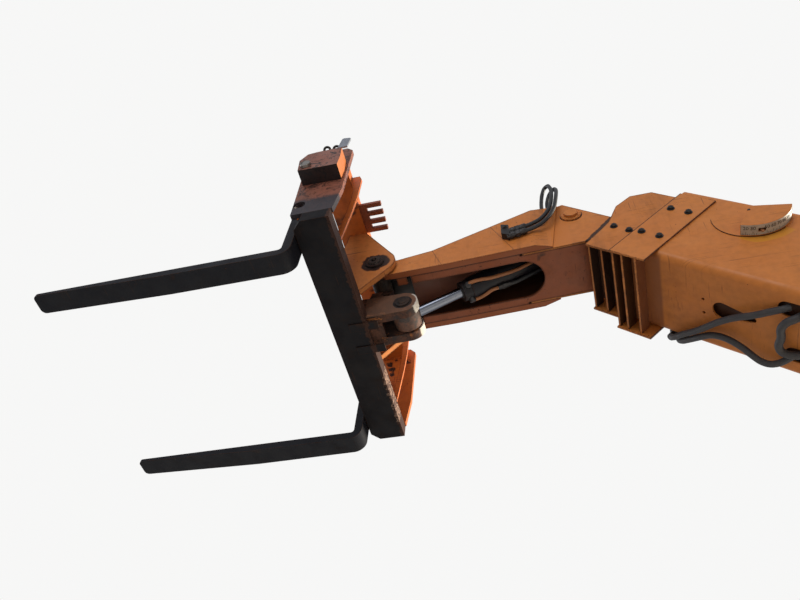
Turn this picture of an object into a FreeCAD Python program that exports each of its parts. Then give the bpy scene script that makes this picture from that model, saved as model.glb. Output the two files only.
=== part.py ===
"""Telescopic loader boom with its gooseneck head, tilt cylinder, fork carriage and two forks.

Sizes are in millimetres. The row frame has +X forward, +Y to the left and +Z up, with its origin in the
middle of the rear pivot bore. The boom is raised by BOOM_ANGLE and the forks lie level.
"""
import FreeCAD, Part
import math
import os
from FreeCAD import Placement, Rotation, Vector

os.makedirs("parts", exist_ok=True)

# Pose at rest
BOOM_ANGLE = 42.88           # boom above level, degrees

# Clearances
SEAT = 0.3                   # a pin in its own bore, or a pad on the section that slides over it
WELD_ROOM = 0.1              # a tube in the hole that it is welded into
SIDE_GAP = 6.0               # between plates that turn beside each other
END_GAP = 6.0                # between two collars when the boom is in
FORK_ROOM = 0.6              # fork eye on its shaft
OVERLAP = 1.0                # how far a rib is let into the plate that it is welded to
THROUGH = 5.0                # how far a cutting tool reaches past the face that it cuts

# Telescoping sections
BASE_WIDTH = 414.0
BASE_HEIGHT = 512.0
BASE_WALL = 10.0
BASE_CORNER = 34.0
MID_WALL = 10.0
MID_CORNER = 32.0
INNER_WALL = 10.0
INNER_CORNER = 28.0
SIDE_ROOM = 20.5             # side pad between one section's wall and the next section
UNDER_ROOM = 16.0            # bottom pad between one section's floor and the next section
TOP_ROOM = 105.0             # top pad and its carrier

# Places along the boom, measured from the rear pivot
PIVOT_RISE = 105.0           # pivot centre above the bottom of the base section
BASE_TAIL = -210.0
BASE_FRONT = 4288.0          # at half the section's height
MOUTH_LEAN = 0.0456          # how much the mouth leans back for each millimetre of height
TAIL_BEVEL = 110.0
MID_TAIL = 420.0
MID_REACH = 161.0            # middle section in front of the base section
INNER_TAIL = 700.0
INNER_REACH = 40.0           # full section in front of the middle section

# Collars
COLLAR_LENGTH = 174.0
COLLAR_PLATE = 9.0
COLLAR_DROP = 71.0           # side plates below the base section
COLLAR_TOP = 456.0           # side plates above the bottom of the base section
RIB = 10.0
RIB_RAISE = 9.0              # ribs end this far above the edge of the side plates

# Bearing pads
PAD_LENGTH = 150.0
PAD_SETBACK = 14.0
PAD_HALF = 100.0
PAD_FOOT = 45.0              # side pads start this far above the section's bottom

# Rear pivot and lugs
PIVOT_BORE_R = 45.0
PIVOT_TUBE_R = 78.0
PIVOT_LENGTH = 520.0
CHEEK_PLATE = 16.0
CHEEK_REACH = 620.0
CHEEK_CORNER = 30.0
LUG_PAD = 12.0
LUG_PAD_MARGIN = 20.0
LIFT_LUG_S = 1500.0
LIFT_LUG_R = 85.0
LIFT_BORE_R = 40.0
LIFT_LUG_PLATE = 30.0
LIFT_LUG_GAP = 130.0
LIFT_LUG_DROP = 120.0
LIFT_LUG_FOOT = 190.0
LEVEL_LUG_S = 520.0
LEVEL_LUG_R = 55.0
LEVEL_BORE_R = 25.0
LEVEL_LUG_PLATE = 20.0
LEVEL_LUG_GAP = 70.0
LEVEL_LUG_DROP = 80.0
LEVEL_LUG_FOOT = 110.0

# Angle indicator on the left of the base section
DIAL_S = 3919.0
DIAL_RISE = 403.0            # above the bottom of the base section
DIAL_BACK_R = 160.0
DIAL_R = 154.0
DIAL_BAND = 50.0
DIAL_PLATE = 4.0
PENDULUM_TOP = 44.0          # spindle below the dial's centre
PENDULUM_TAIL = 10.0         # pendulum past the band
PENDULUM_R = 6.0

# Gooseneck head
NOSE_S = 5250.5
NOSE_DROP = 736.0            # nose pin below the line of the boom pivot
NOSE_R = 56.0
NOSE_PIN_R = 30.0
NOSE_BUSH_R = 46.0
BUSH_PROUD = 2.0
HEAD_PLATE = 32.0
HEAD_FLOOR = 12.0
HEAD_FRONT_X = -95.0
FLOOR_STEP_X = -690.0        # behind it the floor lies between the inner section's walls
ROOF_STEP_X = -860.0
ROOF_SINK = 9.0
ROOF_FRONT_X = -130.0
ROOF_PLATE = 10.0
CHEEK_REAR_X = -845.0
CHEEK_TAPER_X = -765.0
CHEEK_END = 8.0              # thickness of the side plates at their rear ends
THROAT_X = -1010.0           # where the underside meets the inner section
SLOT_HALF = 104.0            # leaves room for the carriage's ears to swing in
SLOT_END_X = -787.0
NOTCH_X = (-168.0, -144.0)
CYL_PIN_X = -955.0
CYL_PIN_Z = 232.0
CYL_PIN_R = 25.0
PIN_FLANGE_R = 50.0
PIN_FLANGE = 7.0
PIN_HEAD_R = 33.0
PIN_HEAD = 20.0

# Tilt cylinder
ROD_PIN_X = -120.0
ROD_PIN_Z = -190.0
BARREL_R = 54.0
BARREL_REACH = 640.0         # from the rear pin to the front of the gland
GLAND_LENGTH = 46.0
GLAND_R = 50.0
BARREL_EYE_R = 50.0
ROD_R = 25.0
ROD_ROOM = 0.5
ROD_TAIL = 360.0             # from the rear pin to the piston end of the rod
EYE_R = 64.0
EYE_WIDTH = 80.0

# Carriage, in level axes from the nose pin
FORK_FACE_X = 267.0          # front face of the shanks
BLADE_FLOOR_Z = -438.0       # underside of the blades
BAR_REAR_X = 50.0
BAR_Z = (-303.0, -233.0)
CARRIAGE_WIDTH = 1330.0
BAR_CHAMFER = 40.0
BEAM_X = (75.0, 216.0)
BEAM_Z = (307.0, 372.0)
BEAM_BACK = 20.0
BEAM_SKIN = 12.0
END_PLATE = 25.0
END_X = (25.0, 248.0)
END_HOLE_R = 28.0
KEEPER_WIDTH = 78.0
KEEPER_TOP = 212.0
TAB_PLATE = 8.0
RING_R = 16.0
RING_WIRE_R = 5.0
SHAFT_X = 195.0
SHAFT_Z = 82.0
SHAFT_R = 25.0
SHAFT_PROUD = 14.0
STRAP_PLATE = 15.0
STRAP_Y = 490.0
PIVOT_PLATE = 28.0
PIVOT_PLATE_R = 100.0
PIVOT_BOSS_R = 46.0
PIVOT_BOSS_PROUD = 10.0
PIN_PROUD = 6.0
WEB_X = 150.0                # rear face of the cross plate in front of the nose
WEB_PLATE = 18.0
EAR_PLATE = 44.0
EAR_R = 72.0
EAR_HEAD = 7.0
EAR_HEAD_R = 36.0
GUSSET_PLATE = 14.0
COMB_Y = (210.0, 372.0)
COMB_TINE = 22.0
COMB_TIP_X = -38.0
COMB_PLATE = 20.0

# Forks
FORK_LENGTH = 1200.0
FORK_WIDTH = 100.0
FORK_THICK = 41.0
FORK_TIP = 14.0
FORK_INSET = 64.5            # outer side of a fork from the outside of the carriage
FORK_HEEL_R = 62.0
FORK_INNER_R = 18.0
FORK_TIP_R = 24.0
FORK_EYE_R = 47.0

# Hoses
HOSE_R = 14.0
LINK_R = 16.0
LOOP_R = 10.0
UNION_R = 15.0
UNION_LENGTH = 60.0
PORT_FACE = 45.0             # underside of the port block above the bottom of the base section

BASE_BOTTOM = -PIVOT_RISE
BASE_TOP = BASE_BOTTOM + BASE_HEIGHT
BASE_HALF = BASE_WIDTH / 2
MID_WIDTH = BASE_WIDTH - 2 * (BASE_WALL + SIDE_ROOM)
MID_BOTTOM = BASE_BOTTOM + BASE_WALL + UNDER_ROOM
MID_TOP = BASE_TOP - BASE_WALL - TOP_ROOM
MID_HALF = MID_WIDTH / 2
INNER_WIDTH = MID_WIDTH - 2 * (MID_WALL + SIDE_ROOM)
INNER_BOTTOM = MID_BOTTOM + MID_WALL + UNDER_ROOM
INNER_TOP = MID_TOP - MID_WALL - TOP_ROOM
INNER_HALF = INNER_WIDTH / 2
HEAD_HALF = INNER_HALF + HEAD_PLATE
MID_FRONT = BASE_FRONT + MID_REACH
INNER_FRONT = MID_FRONT + INNER_REACH
COLLAR_HALF = BASE_HALF + COLLAR_PLATE
COLLAR_FLOOR = BASE_BOTTOM - COLLAR_DROP
PIVOT_INNER = HEAD_HALF + BUSH_PROUD + SIDE_GAP
EAR_INNER = EYE_WIDTH / 2 + SIDE_GAP
CARRIAGE_HALF = CARRIAGE_WIDTH / 2
FORK_Y = CARRIAGE_HALF - FORK_INSET - FORK_WIDTH / 2
BAR_FRONT_X = FORK_FACE_X - FORK_THICK - SIDE_GAP

# Gooseneck outlines, (x, z) in level axes from the nose pin
HEAD_UNDERSIDE = ((-90.0, -70.0), (-320.0, -63.0), (THROAT_X, -20.0))
HEAD_TOPSIDE = ((-100.0, 46.0), (-273.0, 79.0), (-562.0, 207.0), (-817.0, 321.0), (-898.0, 352.0))
HEAD_NOSE = ((-20.0, 52.0), (30.0, 46.0), (46.0, -30.0), (-20.0, -62.0))

# Hole pairs of the base section's underside: front x, rear x, middle y, radius in front, radius behind
UNDERSIDE_HOLES = ((3832.0, 3700.0, 8.0, 40.0, 12.0), (3574.0, 3260.0, 112.0, 34.0, 34.0),
                   (3539.0, 3260.0, -101.0, 34.0, 34.0))
SMALL_HOLES = ((3913.0, 40.0), (3910.0, -29.0))
SMALL_HOLE_R = 7.0

# Front edge of the middle collar: ahead of BASE_FRONT, above the bottom of the base section
COLLAR_NOSE = ((165.0, -38.0), (172.0, 100.0), (178.0, 162.0), (208.0, 237.0), (228.0, 291.0), (220.0, 393.0),
               (147.0, 463.0))

# Hoses under the base section: s, y, distance below the section
HOSE_ROUTES = (
    (HOSE_R, ((4078, -236, -PORT_FACE), (4078, -236, -12), (4050, -210, 18), (3994, -158, 32),
              (3915, -102, 36), (3842, -34, 36), (3762, 24, 36), (3684, 62, 33), (3622, 98, 24),
              (3580, 116, 9), (3564, 119, -8))),
    (HOSE_R, ((4034, -236, -PORT_FACE), (4034, -236, -12), (4008, -213, 18), (3958, -173, 30),
              (3912, -139, 34), (3861, -106, 34), (3812, -97, 34), (3766, -103, 35), (3726, -117, 36),
              (3688, -140, 36), (3650, -160, 35), (3614, -160, 33), (3580, -142, 28), (3556, -120, 16),
              (3540, -107, 0), (3534, -103, -12))),
    (LINK_R, ((3520, 94.3, -8), (3528, 94.3, 16), (3556, 80, 34), (3577, 44, 40), (3570, 2, 40),
              (3582, -40, 40), (3574, -76, 34), (3542, -83, 28), (3512, -83.7, 14), (3498, -83.7, -8))),
)

# Looped hoses on the head's left side, level axes from the nose pin: x, y, z
LOOP_ROUTES = (
    ((-700, 196, 112), (-757, 196, 130), (-807, 197, 158), (-846, 199, 214), (-869, 200, 284),
     (-880, 197, 369), (-884, 188, 459), (-872, 168, 540), (-850, 148, 552), (-833, 133, 509),
     (-822, 120, 430), (-822, 120, 350)),
    ((-700, 196, 72), (-760, 197, 88), (-812, 198, 116), (-856, 201, 172), (-886, 204, 250),
     (-901, 204, 344), (-909, 192, 433), (-899, 164, 500), (-872, 132, 512), (-852, 106, 470),
     (-850, 98, 410), (-850, 98, 350)),
)


def boom_frame():
    """Boom axes: x along the boom from the rear pivot, z square to it."""
    return Placement(Vector(0, 0, 0), Rotation(Vector(0, 1, 0), -BOOM_ANGLE))


def nose_in_boom():
    """The nose pin's place in boom axes."""
    return Vector(NOSE_S, 0, -NOSE_DROP)


def nose_frame():
    """Level axes with their origin in the nose pin, in the row frame."""
    return Placement(boom_frame().multVec(nose_in_boom()), Rotation())


def to_boom(x, z):
    """A level (x, z) from the nose pin as (s, z) in boom axes."""
    turned = Rotation(Vector(0, 1, 0), BOOM_ANGLE).multVec(Vector(x, 0, z)).add(nose_in_boom())
    return turned.x, turned.z


def save(name, shape, frame):
    """Places a finished piece in the row frame and writes it."""
    placed = shape.copy()
    placed.Placement = frame.multiply(placed.Placement)
    placed.exportStep("parts/" + name + ".step")
    print(name, "solids", len(placed.Solids), "valid", placed.isValid(), "volume", round(shape.Volume / 1000))


def side_plate(points, y, thick):
    """A plate with a closed outline of (x, z) points that starts at y and is thick towards +y."""
    corners = [Vector(x, y, z) for x, z in points]
    return Part.Face(Part.makePolygon(corners + corners[:1])).extrude(Vector(0, thick, 0))


def plan_plate(points, z, thick):
    """A plate with a closed outline of (x, y) points that starts at z and is thick towards +z."""
    corners = [Vector(x, y, z) for x, y in points]
    return Part.Face(Part.makePolygon(corners + corners[:1])).extrude(Vector(0, 0, thick))


def both_sides(inner, thick):
    """Starts of a pair of plates, left then right, whose inner faces lie at +inner and -inner."""
    return inner, -inner - thick


def box(x, y, z):
    """A block between the given limits, each a (low, high) pair."""
    return Part.makeBox(x[1] - x[0], y[1] - y[0], z[1] - z[0], Vector(x[0], y[0], z[0]))


def bar_y(x, z, radius, low, high):
    """A round bar along y."""
    return Part.makeCylinder(radius, high - low, Vector(x, low, z), Vector(0, 1, 0))


def through_y(x, z, radius):
    """A cutter for a bore along y through the whole carriage."""
    return bar_y(x, z, radius, -CARRIAGE_WIDTH, CARRIAGE_WIDTH)


def bar_between(a, b, radius):
    """A round bar from one point to another."""
    return Part.makeCylinder(radius, b.sub(a).Length, a, b.sub(a))


def fuse(shapes):
    """Joins shapes into one and removes the seams between them."""
    return shapes[0].multiFuse(shapes[1:]).removeSplitter()


def tangent_corners(ax, az, ar, bx, bz, br):
    """Corners of the strip between two circles along their outer tangents."""
    gap = math.hypot(bx - ax, bz - az)
    line = math.atan2(bz - az, bx - ax)
    lean = math.acos((ar - br) / gap)
    corners = []
    for x, z, r, sign in ((ax, az, ar, 1), (bx, bz, br, 1), (bx, bz, br, -1), (ax, az, ar, -1)):
        corners.append((x + r * math.cos(line + sign * lean), z + r * math.sin(line + sign * lean)))
    return corners


def hull_of_circles(circles, y, thick):
    """A plate round two circles, each (x, z, radius), joined by their outer tangents."""
    web = side_plate(tangent_corners(*circles[0], *circles[1]), y, thick)
    return fuse([web] + [bar_y(x, z, r, y, y + thick) for x, z, r in circles])


def tube_section(half, bottom, top, wall, corner, start, end):
    """A folded box section with rounded corners, hollow from end to end, in boom axes."""
    def block(inset, a, b):
        solid = box((a, b), (inset - half, half - inset), (bottom + inset, top - inset))
        edges = [e for e in solid.Edges if abs(e.tangentAt(e.FirstParameter).x) > 0.99]
        return solid.makeFillet(corner - inset, edges)
    return block(0, start, end).cut(block(wall, start - THROUGH, end + THROUGH))


def mouth(z):
    """Front end of the base section at a height in boom axes."""
    return BASE_FRONT + MOUTH_LEAN * ((BASE_BOTTOM + BASE_TOP) / 2 - z)


def underside_at(x):
    """Height of the head's underside at a level distance from the nose pin."""
    for (ax, az), (bx, bz) in zip(HEAD_UNDERSIDE, HEAD_UNDERSIDE[1:]):
        if x >= bx or bx == THROAT_X:
            return az + (bz - az) * (x - ax) / (bx - ax)


def roof_run(front, rear):
    """Points of the head's top edge between two level distances, cut level at both."""
    run = []
    for (ax, az), (bx, bz) in zip(HEAD_TOPSIDE, HEAD_TOPSIDE[1:]):
        for x in (ax, front, rear):
            if bx <= x <= ax and rear <= x <= front:
                run.append((x, az + (bz - az) * (x - ax) / (bx - ax)))
    return sorted(set(run), reverse=True)


def base_section():
    """Outer section with the holes and slots of its underside and a bevelled tail."""
    past = BASE_FRONT + COLLAR_LENGTH
    body = tube_section(BASE_HALF, BASE_BOTTOM, BASE_TOP, BASE_WALL, BASE_CORNER, BASE_TAIL, past - THROUGH)
    low, deep = BASE_BOTTOM - THROUGH, BASE_WALL + 2 * THROUGH
    tail = BASE_TAIL - THROUGH
    cuts = []
    for front, rear, y, r_front, r_rear in UNDERSIDE_HOLES:
        cuts.append(plan_plate(tangent_corners(front, y, r_front, rear, y, r_rear), low, deep))
        cuts += [Part.makeCylinder(r, deep, Vector(x, y, low)) for x, r in ((front, r_front), (rear, r_rear))]
    cuts += [Part.makeCylinder(SMALL_HOLE_R, deep, Vector(x, y, low)) for x, y in SMALL_HOLES]
    cuts.append(bar_y(0, 0, PIVOT_TUBE_R + WELD_ROOM, -BASE_WIDTH, BASE_WIDTH))
    cuts.append(side_plate([(tail, low), (BASE_TAIL + TAIL_BEVEL, low), (tail, BASE_BOTTOM + TAIL_BEVEL)],
                           -BASE_WIDTH, 2 * BASE_WIDTH))
    foot, peak = COLLAR_FLOOR, BASE_TOP + THROUGH
    cuts.append(side_plate([(mouth(foot), foot), (past, foot), (past, peak), (mouth(peak), peak)],
                           -BASE_WIDTH, 2 * BASE_WIDTH))
    return body.cut(Part.makeCompound(cuts))


def cross_rib(x, half, low, high):
    """A plate across the boom, let into the side plates at its two ends."""
    return box((x, x + RIB), (-half - OVERLAP, half + OVERLAP), (low, high))


def base_collar():
    """Side plates that hang below the base section, joined by cross ribs."""
    top = BASE_BOTTOM + COLLAR_TOP
    outline = [(mouth(COLLAR_FLOOR) - COLLAR_LENGTH, COLLAR_FLOOR), (mouth(COLLAR_FLOOR), COLLAR_FLOOR),
               (mouth(top), top), (mouth(top) - COLLAR_LENGTH, top)]
    plates = [side_plate(outline, y, COLLAR_PLATE) for y in both_sides(BASE_HALF, COLLAR_PLATE)]
    start = mouth(COLLAR_FLOOR) - COLLAR_LENGTH
    places = (start + COLLAR_LENGTH * 0.28, start + COLLAR_LENGTH * 0.66, mouth(BASE_BOTTOM) - RIB)
    return fuse(plates + [cross_rib(x, BASE_HALF, COLLAR_FLOOR + RIB_RAISE, BASE_BOTTOM) for x in places])


def pads_in(outer_half, wall, outer_bottom, outer_top, half, bottom, top, front):
    """Four bearing pads between a section's mouth and the section that slides in it."""
    run = (front - PAD_LENGTH, front)
    side = (bottom + PAD_FOOT, top - PAD_FOOT)
    across = (-PAD_HALF, PAD_HALF)
    return Part.makeCompound([
        box(run, (half + SEAT, outer_half - wall), side), box(run, (wall - outer_half, -half - SEAT), side),
        box(run, across, (outer_bottom + wall, bottom - SEAT)),
        box(run, across, (top + SEAT, outer_top - wall))])


def rear_pivot():
    """Tube for the boom's pivot pin."""
    half = PIVOT_LENGTH / 2
    return bar_y(0, 0, PIVOT_TUBE_R, -half, half).cut(through_y(0, 0, PIVOT_BORE_R))


def rear_cheeks():
    """Doubler plates outside the section, round the pivot tube."""
    tail, low, high = BASE_TAIL + 40, BASE_BOTTOM + 12, BASE_TOP - 150
    outline = [(tail, BASE_BOTTOM + TAIL_BEVEL), (BASE_TAIL + TAIL_BEVEL + 20, low), (CHEEK_REACH * 0.7, low),
               (CHEEK_REACH, low + 48), (CHEEK_REACH, low + 108), (CHEEK_REACH / 2, high), (tail, high)]
    cheeks = []
    for y in both_sides(BASE_HALF, CHEEK_PLATE):
        plate = side_plate(outline, y, CHEEK_PLATE)
        edges = [e for e in plate.Edges if abs(e.tangentAt(e.FirstParameter).y) > 0.99]
        plate = plate.makeFillet(CHEEK_CORNER, edges)
        cheeks.append(plate.cut(bar_y(0, 0, PIVOT_TUBE_R + WELD_ROOM, -BASE_WIDTH, BASE_WIDTH)))
    return Part.makeCompound(cheeks)


def lug_pair(s, radius, bore, plate, gap, drop, foot):
    """Two hanging lugs on a foot plate under the base section."""
    z = BASE_BOTTOM - drop
    seat = BASE_BOTTOM - LUG_PAD
    lugs = []
    for y in both_sides(gap / 2, plate):
        web = side_plate([(s - foot, seat), (s + foot, seat), (s + radius * 0.9, z + radius * 0.36),
                          (s - radius * 0.9, z + radius * 0.36)], y, plate)
        lug = fuse([web, bar_y(s, z, radius, y, y + plate)])
        lugs.append(lug.cut(bar_y(s, z, bore, y - THROUGH, y + plate + THROUGH)))
    reach, half = foot + LUG_PAD_MARGIN, gap / 2 + plate + LUG_PAD_MARGIN
    return fuse(lugs + [box((s - reach, s + reach), (-half, half), (seat, BASE_BOTTOM))])


def dial_sector(radius, start, end):
    """Flat sector of the angle indicator in the plane y = 0 of boom axes, angles from the boom's line."""
    z = BASE_BOTTOM + DIAL_RISE
    a, b = math.radians(start), math.radians(end)
    rim = [Vector(DIAL_S + radius * math.cos(t), 0, z + radius * math.sin(t)) for t in (a, (a + b) / 2, b)]
    centre = Vector(DIAL_S, 0, z)
    edges = [Part.LineSegment(centre, rim[0]).toShape(), Part.Arc(*rim).toShape(),
             Part.LineSegment(rim[2], centre).toShape()]
    return Part.Face(Part.Wire(edges))


def dial_back():
    """Backing plate of the angle indicator, flat on the section's left side."""
    sector = dial_sector(DIAL_BACK_R, 162, 326).extrude(Vector(0, DIAL_PLATE, 0))
    return sector.translated(Vector(0, BASE_HALF, 0))


def pendulum_at(radius):
    """Point on the pendulum's vertical line at a distance from the dial's centre, in boom axes."""
    hang = math.radians(270 - BOOM_ANGLE)
    return DIAL_S + radius * math.cos(hang), BASE_BOTTOM + DIAL_RISE + radius * math.sin(hang)


def dial_cover():
    """Cover that stands off the backing plate, hollow, its curved band slotted for the pendulum."""
    face = BASE_HALF + DIAL_PLATE
    outline = dial_sector(DIAL_R, 152, 258)
    outer = outline.extrude(Vector(0, DIAL_BAND, 0))
    inner = outline.makeOffset2D(-DIAL_PLATE).extrude(Vector(0, DIAL_BAND - DIAL_PLATE, 0))
    r = PENDULUM_R + 2 * DIAL_PLATE
    near, far = pendulum_at(DIAL_R - 2 * r), pendulum_at(DIAL_R + 2 * r)
    slot = hull_of_circles(((*near, r + WELD_ROOM), (*far, r)), (DIAL_BAND - PENDULUM_R) / 2 - DIAL_PLATE, r)
    return outer.cut(inner).cut(slot).translated(Vector(0, face, 0))


def dial_pointer():
    """Pendulum of the angle indicator, hanging straight down on its spindle."""
    face = BASE_HALF + DIAL_PLATE
    top, foot = pendulum_at(PENDULUM_TOP), pendulum_at(DIAL_R + PENDULUM_TAIL)
    middle = face + (DIAL_BAND - DIAL_PLATE) / 2
    arm = hull_of_circles(((*top, 2 * PENDULUM_R), (*foot, PENDULUM_R)), middle, DIAL_PLATE)
    return fuse([arm, bar_y(*top, PENDULUM_R - 1, face, face + DIAL_BAND - DIAL_PLATE)])


def mid_section():
    """Middle section, hollow from end to end."""
    return tube_section(MID_HALF, MID_BOTTOM, MID_TOP, MID_WALL, MID_CORNER, MID_TAIL, MID_FRONT)


def mid_collar():
    """Collar of the middle section: plates flat on its walls, their upper part bulging forward."""
    floor, top = BASE_BOTTOM + COLLAR_NOSE[0][1], BASE_BOTTOM + COLLAR_NOSE[-1][1]
    outline = [(mouth(floor) + END_GAP, floor)]
    outline += [(BASE_FRONT + ahead, BASE_BOTTOM + rise) for ahead, rise in COLLAR_NOSE]
    outline.append((mouth(top) + END_GAP, top))
    plates = [side_plate(outline, y, COLLAR_PLATE) for y in both_sides(MID_HALF, COLLAR_PLATE)]
    rear, front = mouth(floor) + END_GAP, MID_FRONT - RIB
    ribs = [cross_rib(x, MID_HALF, floor + RIB_RAISE, MID_BOTTOM) for x in (rear, (rear + front) / 2, front)]
    ribs += [cross_rib(x, MID_HALF, MID_TOP - OVERLAP, top - RIB_RAISE) for x in (rear, front)]
    skin = box((MID_TAIL, MID_FRONT), (-MID_HALF, MID_HALF), (MID_BOTTOM, MID_TOP))
    edges = [e for e in skin.Edges if abs(e.tangentAt(e.FirstParameter).x) > 0.99]
    return fuse(plates + ribs).cut(skin.makeFillet(MID_CORNER, edges))


def wall_outline():
    """Outline of the inner section's walls where they run on into the gooseneck, in boom axes."""
    peak_s, peak_z = to_boom(*HEAD_TOPSIDE[-1])
    low = to_boom(FLOOR_STEP_X - ROOF_PLATE, underside_at(FLOOR_STEP_X - ROOF_PLATE))
    throat = to_boom(THROAT_X, underside_at(THROAT_X))
    shoulder = INNER_TOP - INNER_CORNER
    return [(INNER_FRONT, shoulder), (peak_s - 20, shoulder), (peak_s, peak_z - 20), low, throat,
            (INNER_FRONT, INNER_BOTTOM + INNER_CORNER)]


def inner_section():
    """Inner section with the deepened throat of the gooseneck at its front."""
    tube = tube_section(INNER_HALF, INNER_BOTTOM, INNER_TOP, INNER_WALL, INNER_CORNER, INNER_TAIL, INNER_FRONT)
    walls = [side_plate(wall_outline(), y, INNER_WALL) for y in both_sides(INNER_HALF - INNER_WALL, INNER_WALL)]
    shoulder = INNER_TOP - INNER_CORNER
    peak_s = to_boom(*HEAD_TOPSIDE[-1])[0]
    half = INNER_HALF - INNER_WALL
    roof = box((INNER_FRONT, peak_s - 20), (-half, half), (shoulder - INNER_WALL, shoulder))
    bore = bar_y(*to_boom(CYL_PIN_X, CYL_PIN_Z), CYL_PIN_R + SEAT, -BASE_WIDTH, BASE_WIDTH)
    return fuse([tube] + walls + [roof]).cut(bore)


def head_side(y):
    """One side plate of the gooseneck, from its start in y."""
    heel = [p for p in HEAD_UNDERSIDE if p[0] > CHEEK_REAR_X] + [(CHEEK_REAR_X, underside_at(CHEEK_REAR_X))]
    outline = list(HEAD_NOSE) + heel + list(reversed(HEAD_TOPSIDE))
    plate = fuse([side_plate(outline, y, HEAD_PLATE), bar_y(0, 0, NOSE_R, y, y + HEAD_PLATE)])
    side = 1 if y > 0 else -1
    thin = (INNER_HALF + CHEEK_END) * side
    taper = [(CHEEK_TAPER_X, HEAD_HALF * side), (CHEEK_REAR_X, thin), (THROAT_X, thin),
             (THROAT_X, BASE_WIDTH * side), (CHEEK_TAPER_X, BASE_WIDTH * side)]
    return plate.cut(through_y(0, 0, NOSE_BUSH_R)).cut(plan_plate(taper, -BASE_WIDTH, 2 * BASE_WIDTH))


def head_floor():
    """Bottom plate of the gooseneck, open in front, with the long slot for the tilt cylinder."""
    strips = []
    # Between the cheeks in front, between the section's walls behind: front x, rear x, half width
    for front, rear, half in ((HEAD_FRONT_X, HEAD_UNDERSIDE[1][0], INNER_HALF),
                              (HEAD_UNDERSIDE[1][0], FLOOR_STEP_X, INNER_HALF),
                              (FLOOR_STEP_X, THROAT_X, INNER_HALF - INNER_WALL)):
        a, b = underside_at(front), underside_at(rear)
        strip = [(front, a), (rear, b), (rear, b + HEAD_FLOOR), (front, a + HEAD_FLOOR)]
        strips.append(side_plate(strip, -half, 2 * half))
    end = SLOT_END_X + SLOT_HALF
    depth = (-INNER_HALF, INNER_HALF)
    slot = box((end, 0), (-SLOT_HALF, SLOT_HALF), depth)
    round_end = Part.makeCylinder(SLOT_HALF, depth[1] - depth[0], Vector(end, 0, depth[0]))
    return fuse(strips).cut(fuse([slot, round_end])).cut(box(NOTCH_X, depth, depth))


def head_roof():
    """Top plates of the gooseneck, let in between its side plates and then between the section's walls."""
    runs = []
    for front, rear, half in ((ROOF_FRONT_X, ROOF_STEP_X, INNER_HALF),
                              (ROOF_STEP_X, HEAD_TOPSIDE[-1][0], INNER_HALF - INNER_WALL)):
        top = [(x, z - ROOF_SINK) for x, z in roof_run(front, rear)]
        runs.append(side_plate(top + [(x, z - ROOF_PLATE) for x, z in reversed(top)], -half, 2 * half))
    return fuse(runs)


def nose_bush():
    """Bush tube across the nose for the carriage's pivot pin."""
    half = HEAD_HALF + BUSH_PROUD
    return bar_y(0, 0, NOSE_BUSH_R, -half, half).cut(through_y(0, 0, NOSE_PIN_R + SEAT))


def cylinder_pin():
    """Rear pin of the tilt cylinder with its flanged heads outside the inner section."""
    pieces = [bar_y(CYL_PIN_X, CYL_PIN_Z, CYL_PIN_R, -INNER_HALF - PIN_FLANGE, INNER_HALF + PIN_FLANGE)]
    for radius, low, high in ((PIN_FLANGE_R, 0, PIN_FLANGE), (PIN_HEAD_R, PIN_FLANGE, PIN_HEAD)):
        pieces.append(bar_y(CYL_PIN_X, CYL_PIN_Z, radius, INNER_HALF + low, INNER_HALF + high))
        pieces.append(bar_y(CYL_PIN_X, CYL_PIN_Z, radius, -INNER_HALF - high, -INNER_HALF - low))
    return fuse(pieces)


def hose_couplings():
    """Coupling block on the head's left side, and the two unions on its roof where the looped hoses end."""
    pieces = [side_plate([(-655, 46), (-618, 70), (-618, 152), (-655, 138)], HEAD_HALF, 34)]
    for route in LOOP_ROUTES:
        start, ahead = Vector(*route[0]), Vector(*route[1])
        pieces.append(bar_between(start, start.sub(ahead.sub(start).normalize() * UNION_LENGTH), UNION_R))
    solids = [fuse(pieces)]
    for route in LOOP_ROUTES:
        x, y, z = route[-1]
        foot = [p[1] for p in roof_run(x, x)][0] - ROOF_SINK
        solids.append(Part.makeCylinder(UNION_R, z - foot, Vector(x, y, foot)).cut(head_roof()))
    return Part.makeCompound(solids)


def path_tube(points, radius):
    """A round tube along straight runs joined by tangent arcs."""
    edges = []
    last = points[0]
    for before, corner, after in zip(points, points[1:], points[2:]):
        run_in, run_out = corner.sub(before), after.sub(corner)
        turn = run_in.getAngle(run_out)
        cut = 0.45 * min(run_in.Length, run_out.Length)
        bend = cut / math.tan(turn / 2)
        u, v = run_in.normalize(), run_out.normalize()
        start, end = corner.sub(u * cut), corner.add(v * cut)
        middle = corner.add(v.sub(u).normalize() * (bend / math.cos(turn / 2) - bend))
        edges.append(Part.LineSegment(last, start).toShape())
        edges.append(Part.Arc(start, middle, end).toShape())
        last = end
        print("bend radius", round(bend, 1), "turn", round(math.degrees(turn), 1))
    edges.append(Part.LineSegment(last, points[-1]).toShape())
    wire = Part.Wire(edges)
    profile = Part.Wire([Part.Circle(points[0], points[1].sub(points[0]), radius).toShape()])
    tube = wire.makePipeShell([profile], True, False)
    share = tube.Volume / (math.pi * radius ** 2 * wire.Length)
    print("tube length", round(wire.Length), "volume check", round(share, 4))
    return tube


def boom_hoses():
    """Three hoses under the base section, from its port block to its slots."""
    tubes = []
    for radius, route in HOSE_ROUTES:
        tubes.append(path_tube([Vector(s, y, BASE_BOTTOM - drop) for s, y, drop in route], radius))
    return Part.makeCompound(tubes)


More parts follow.
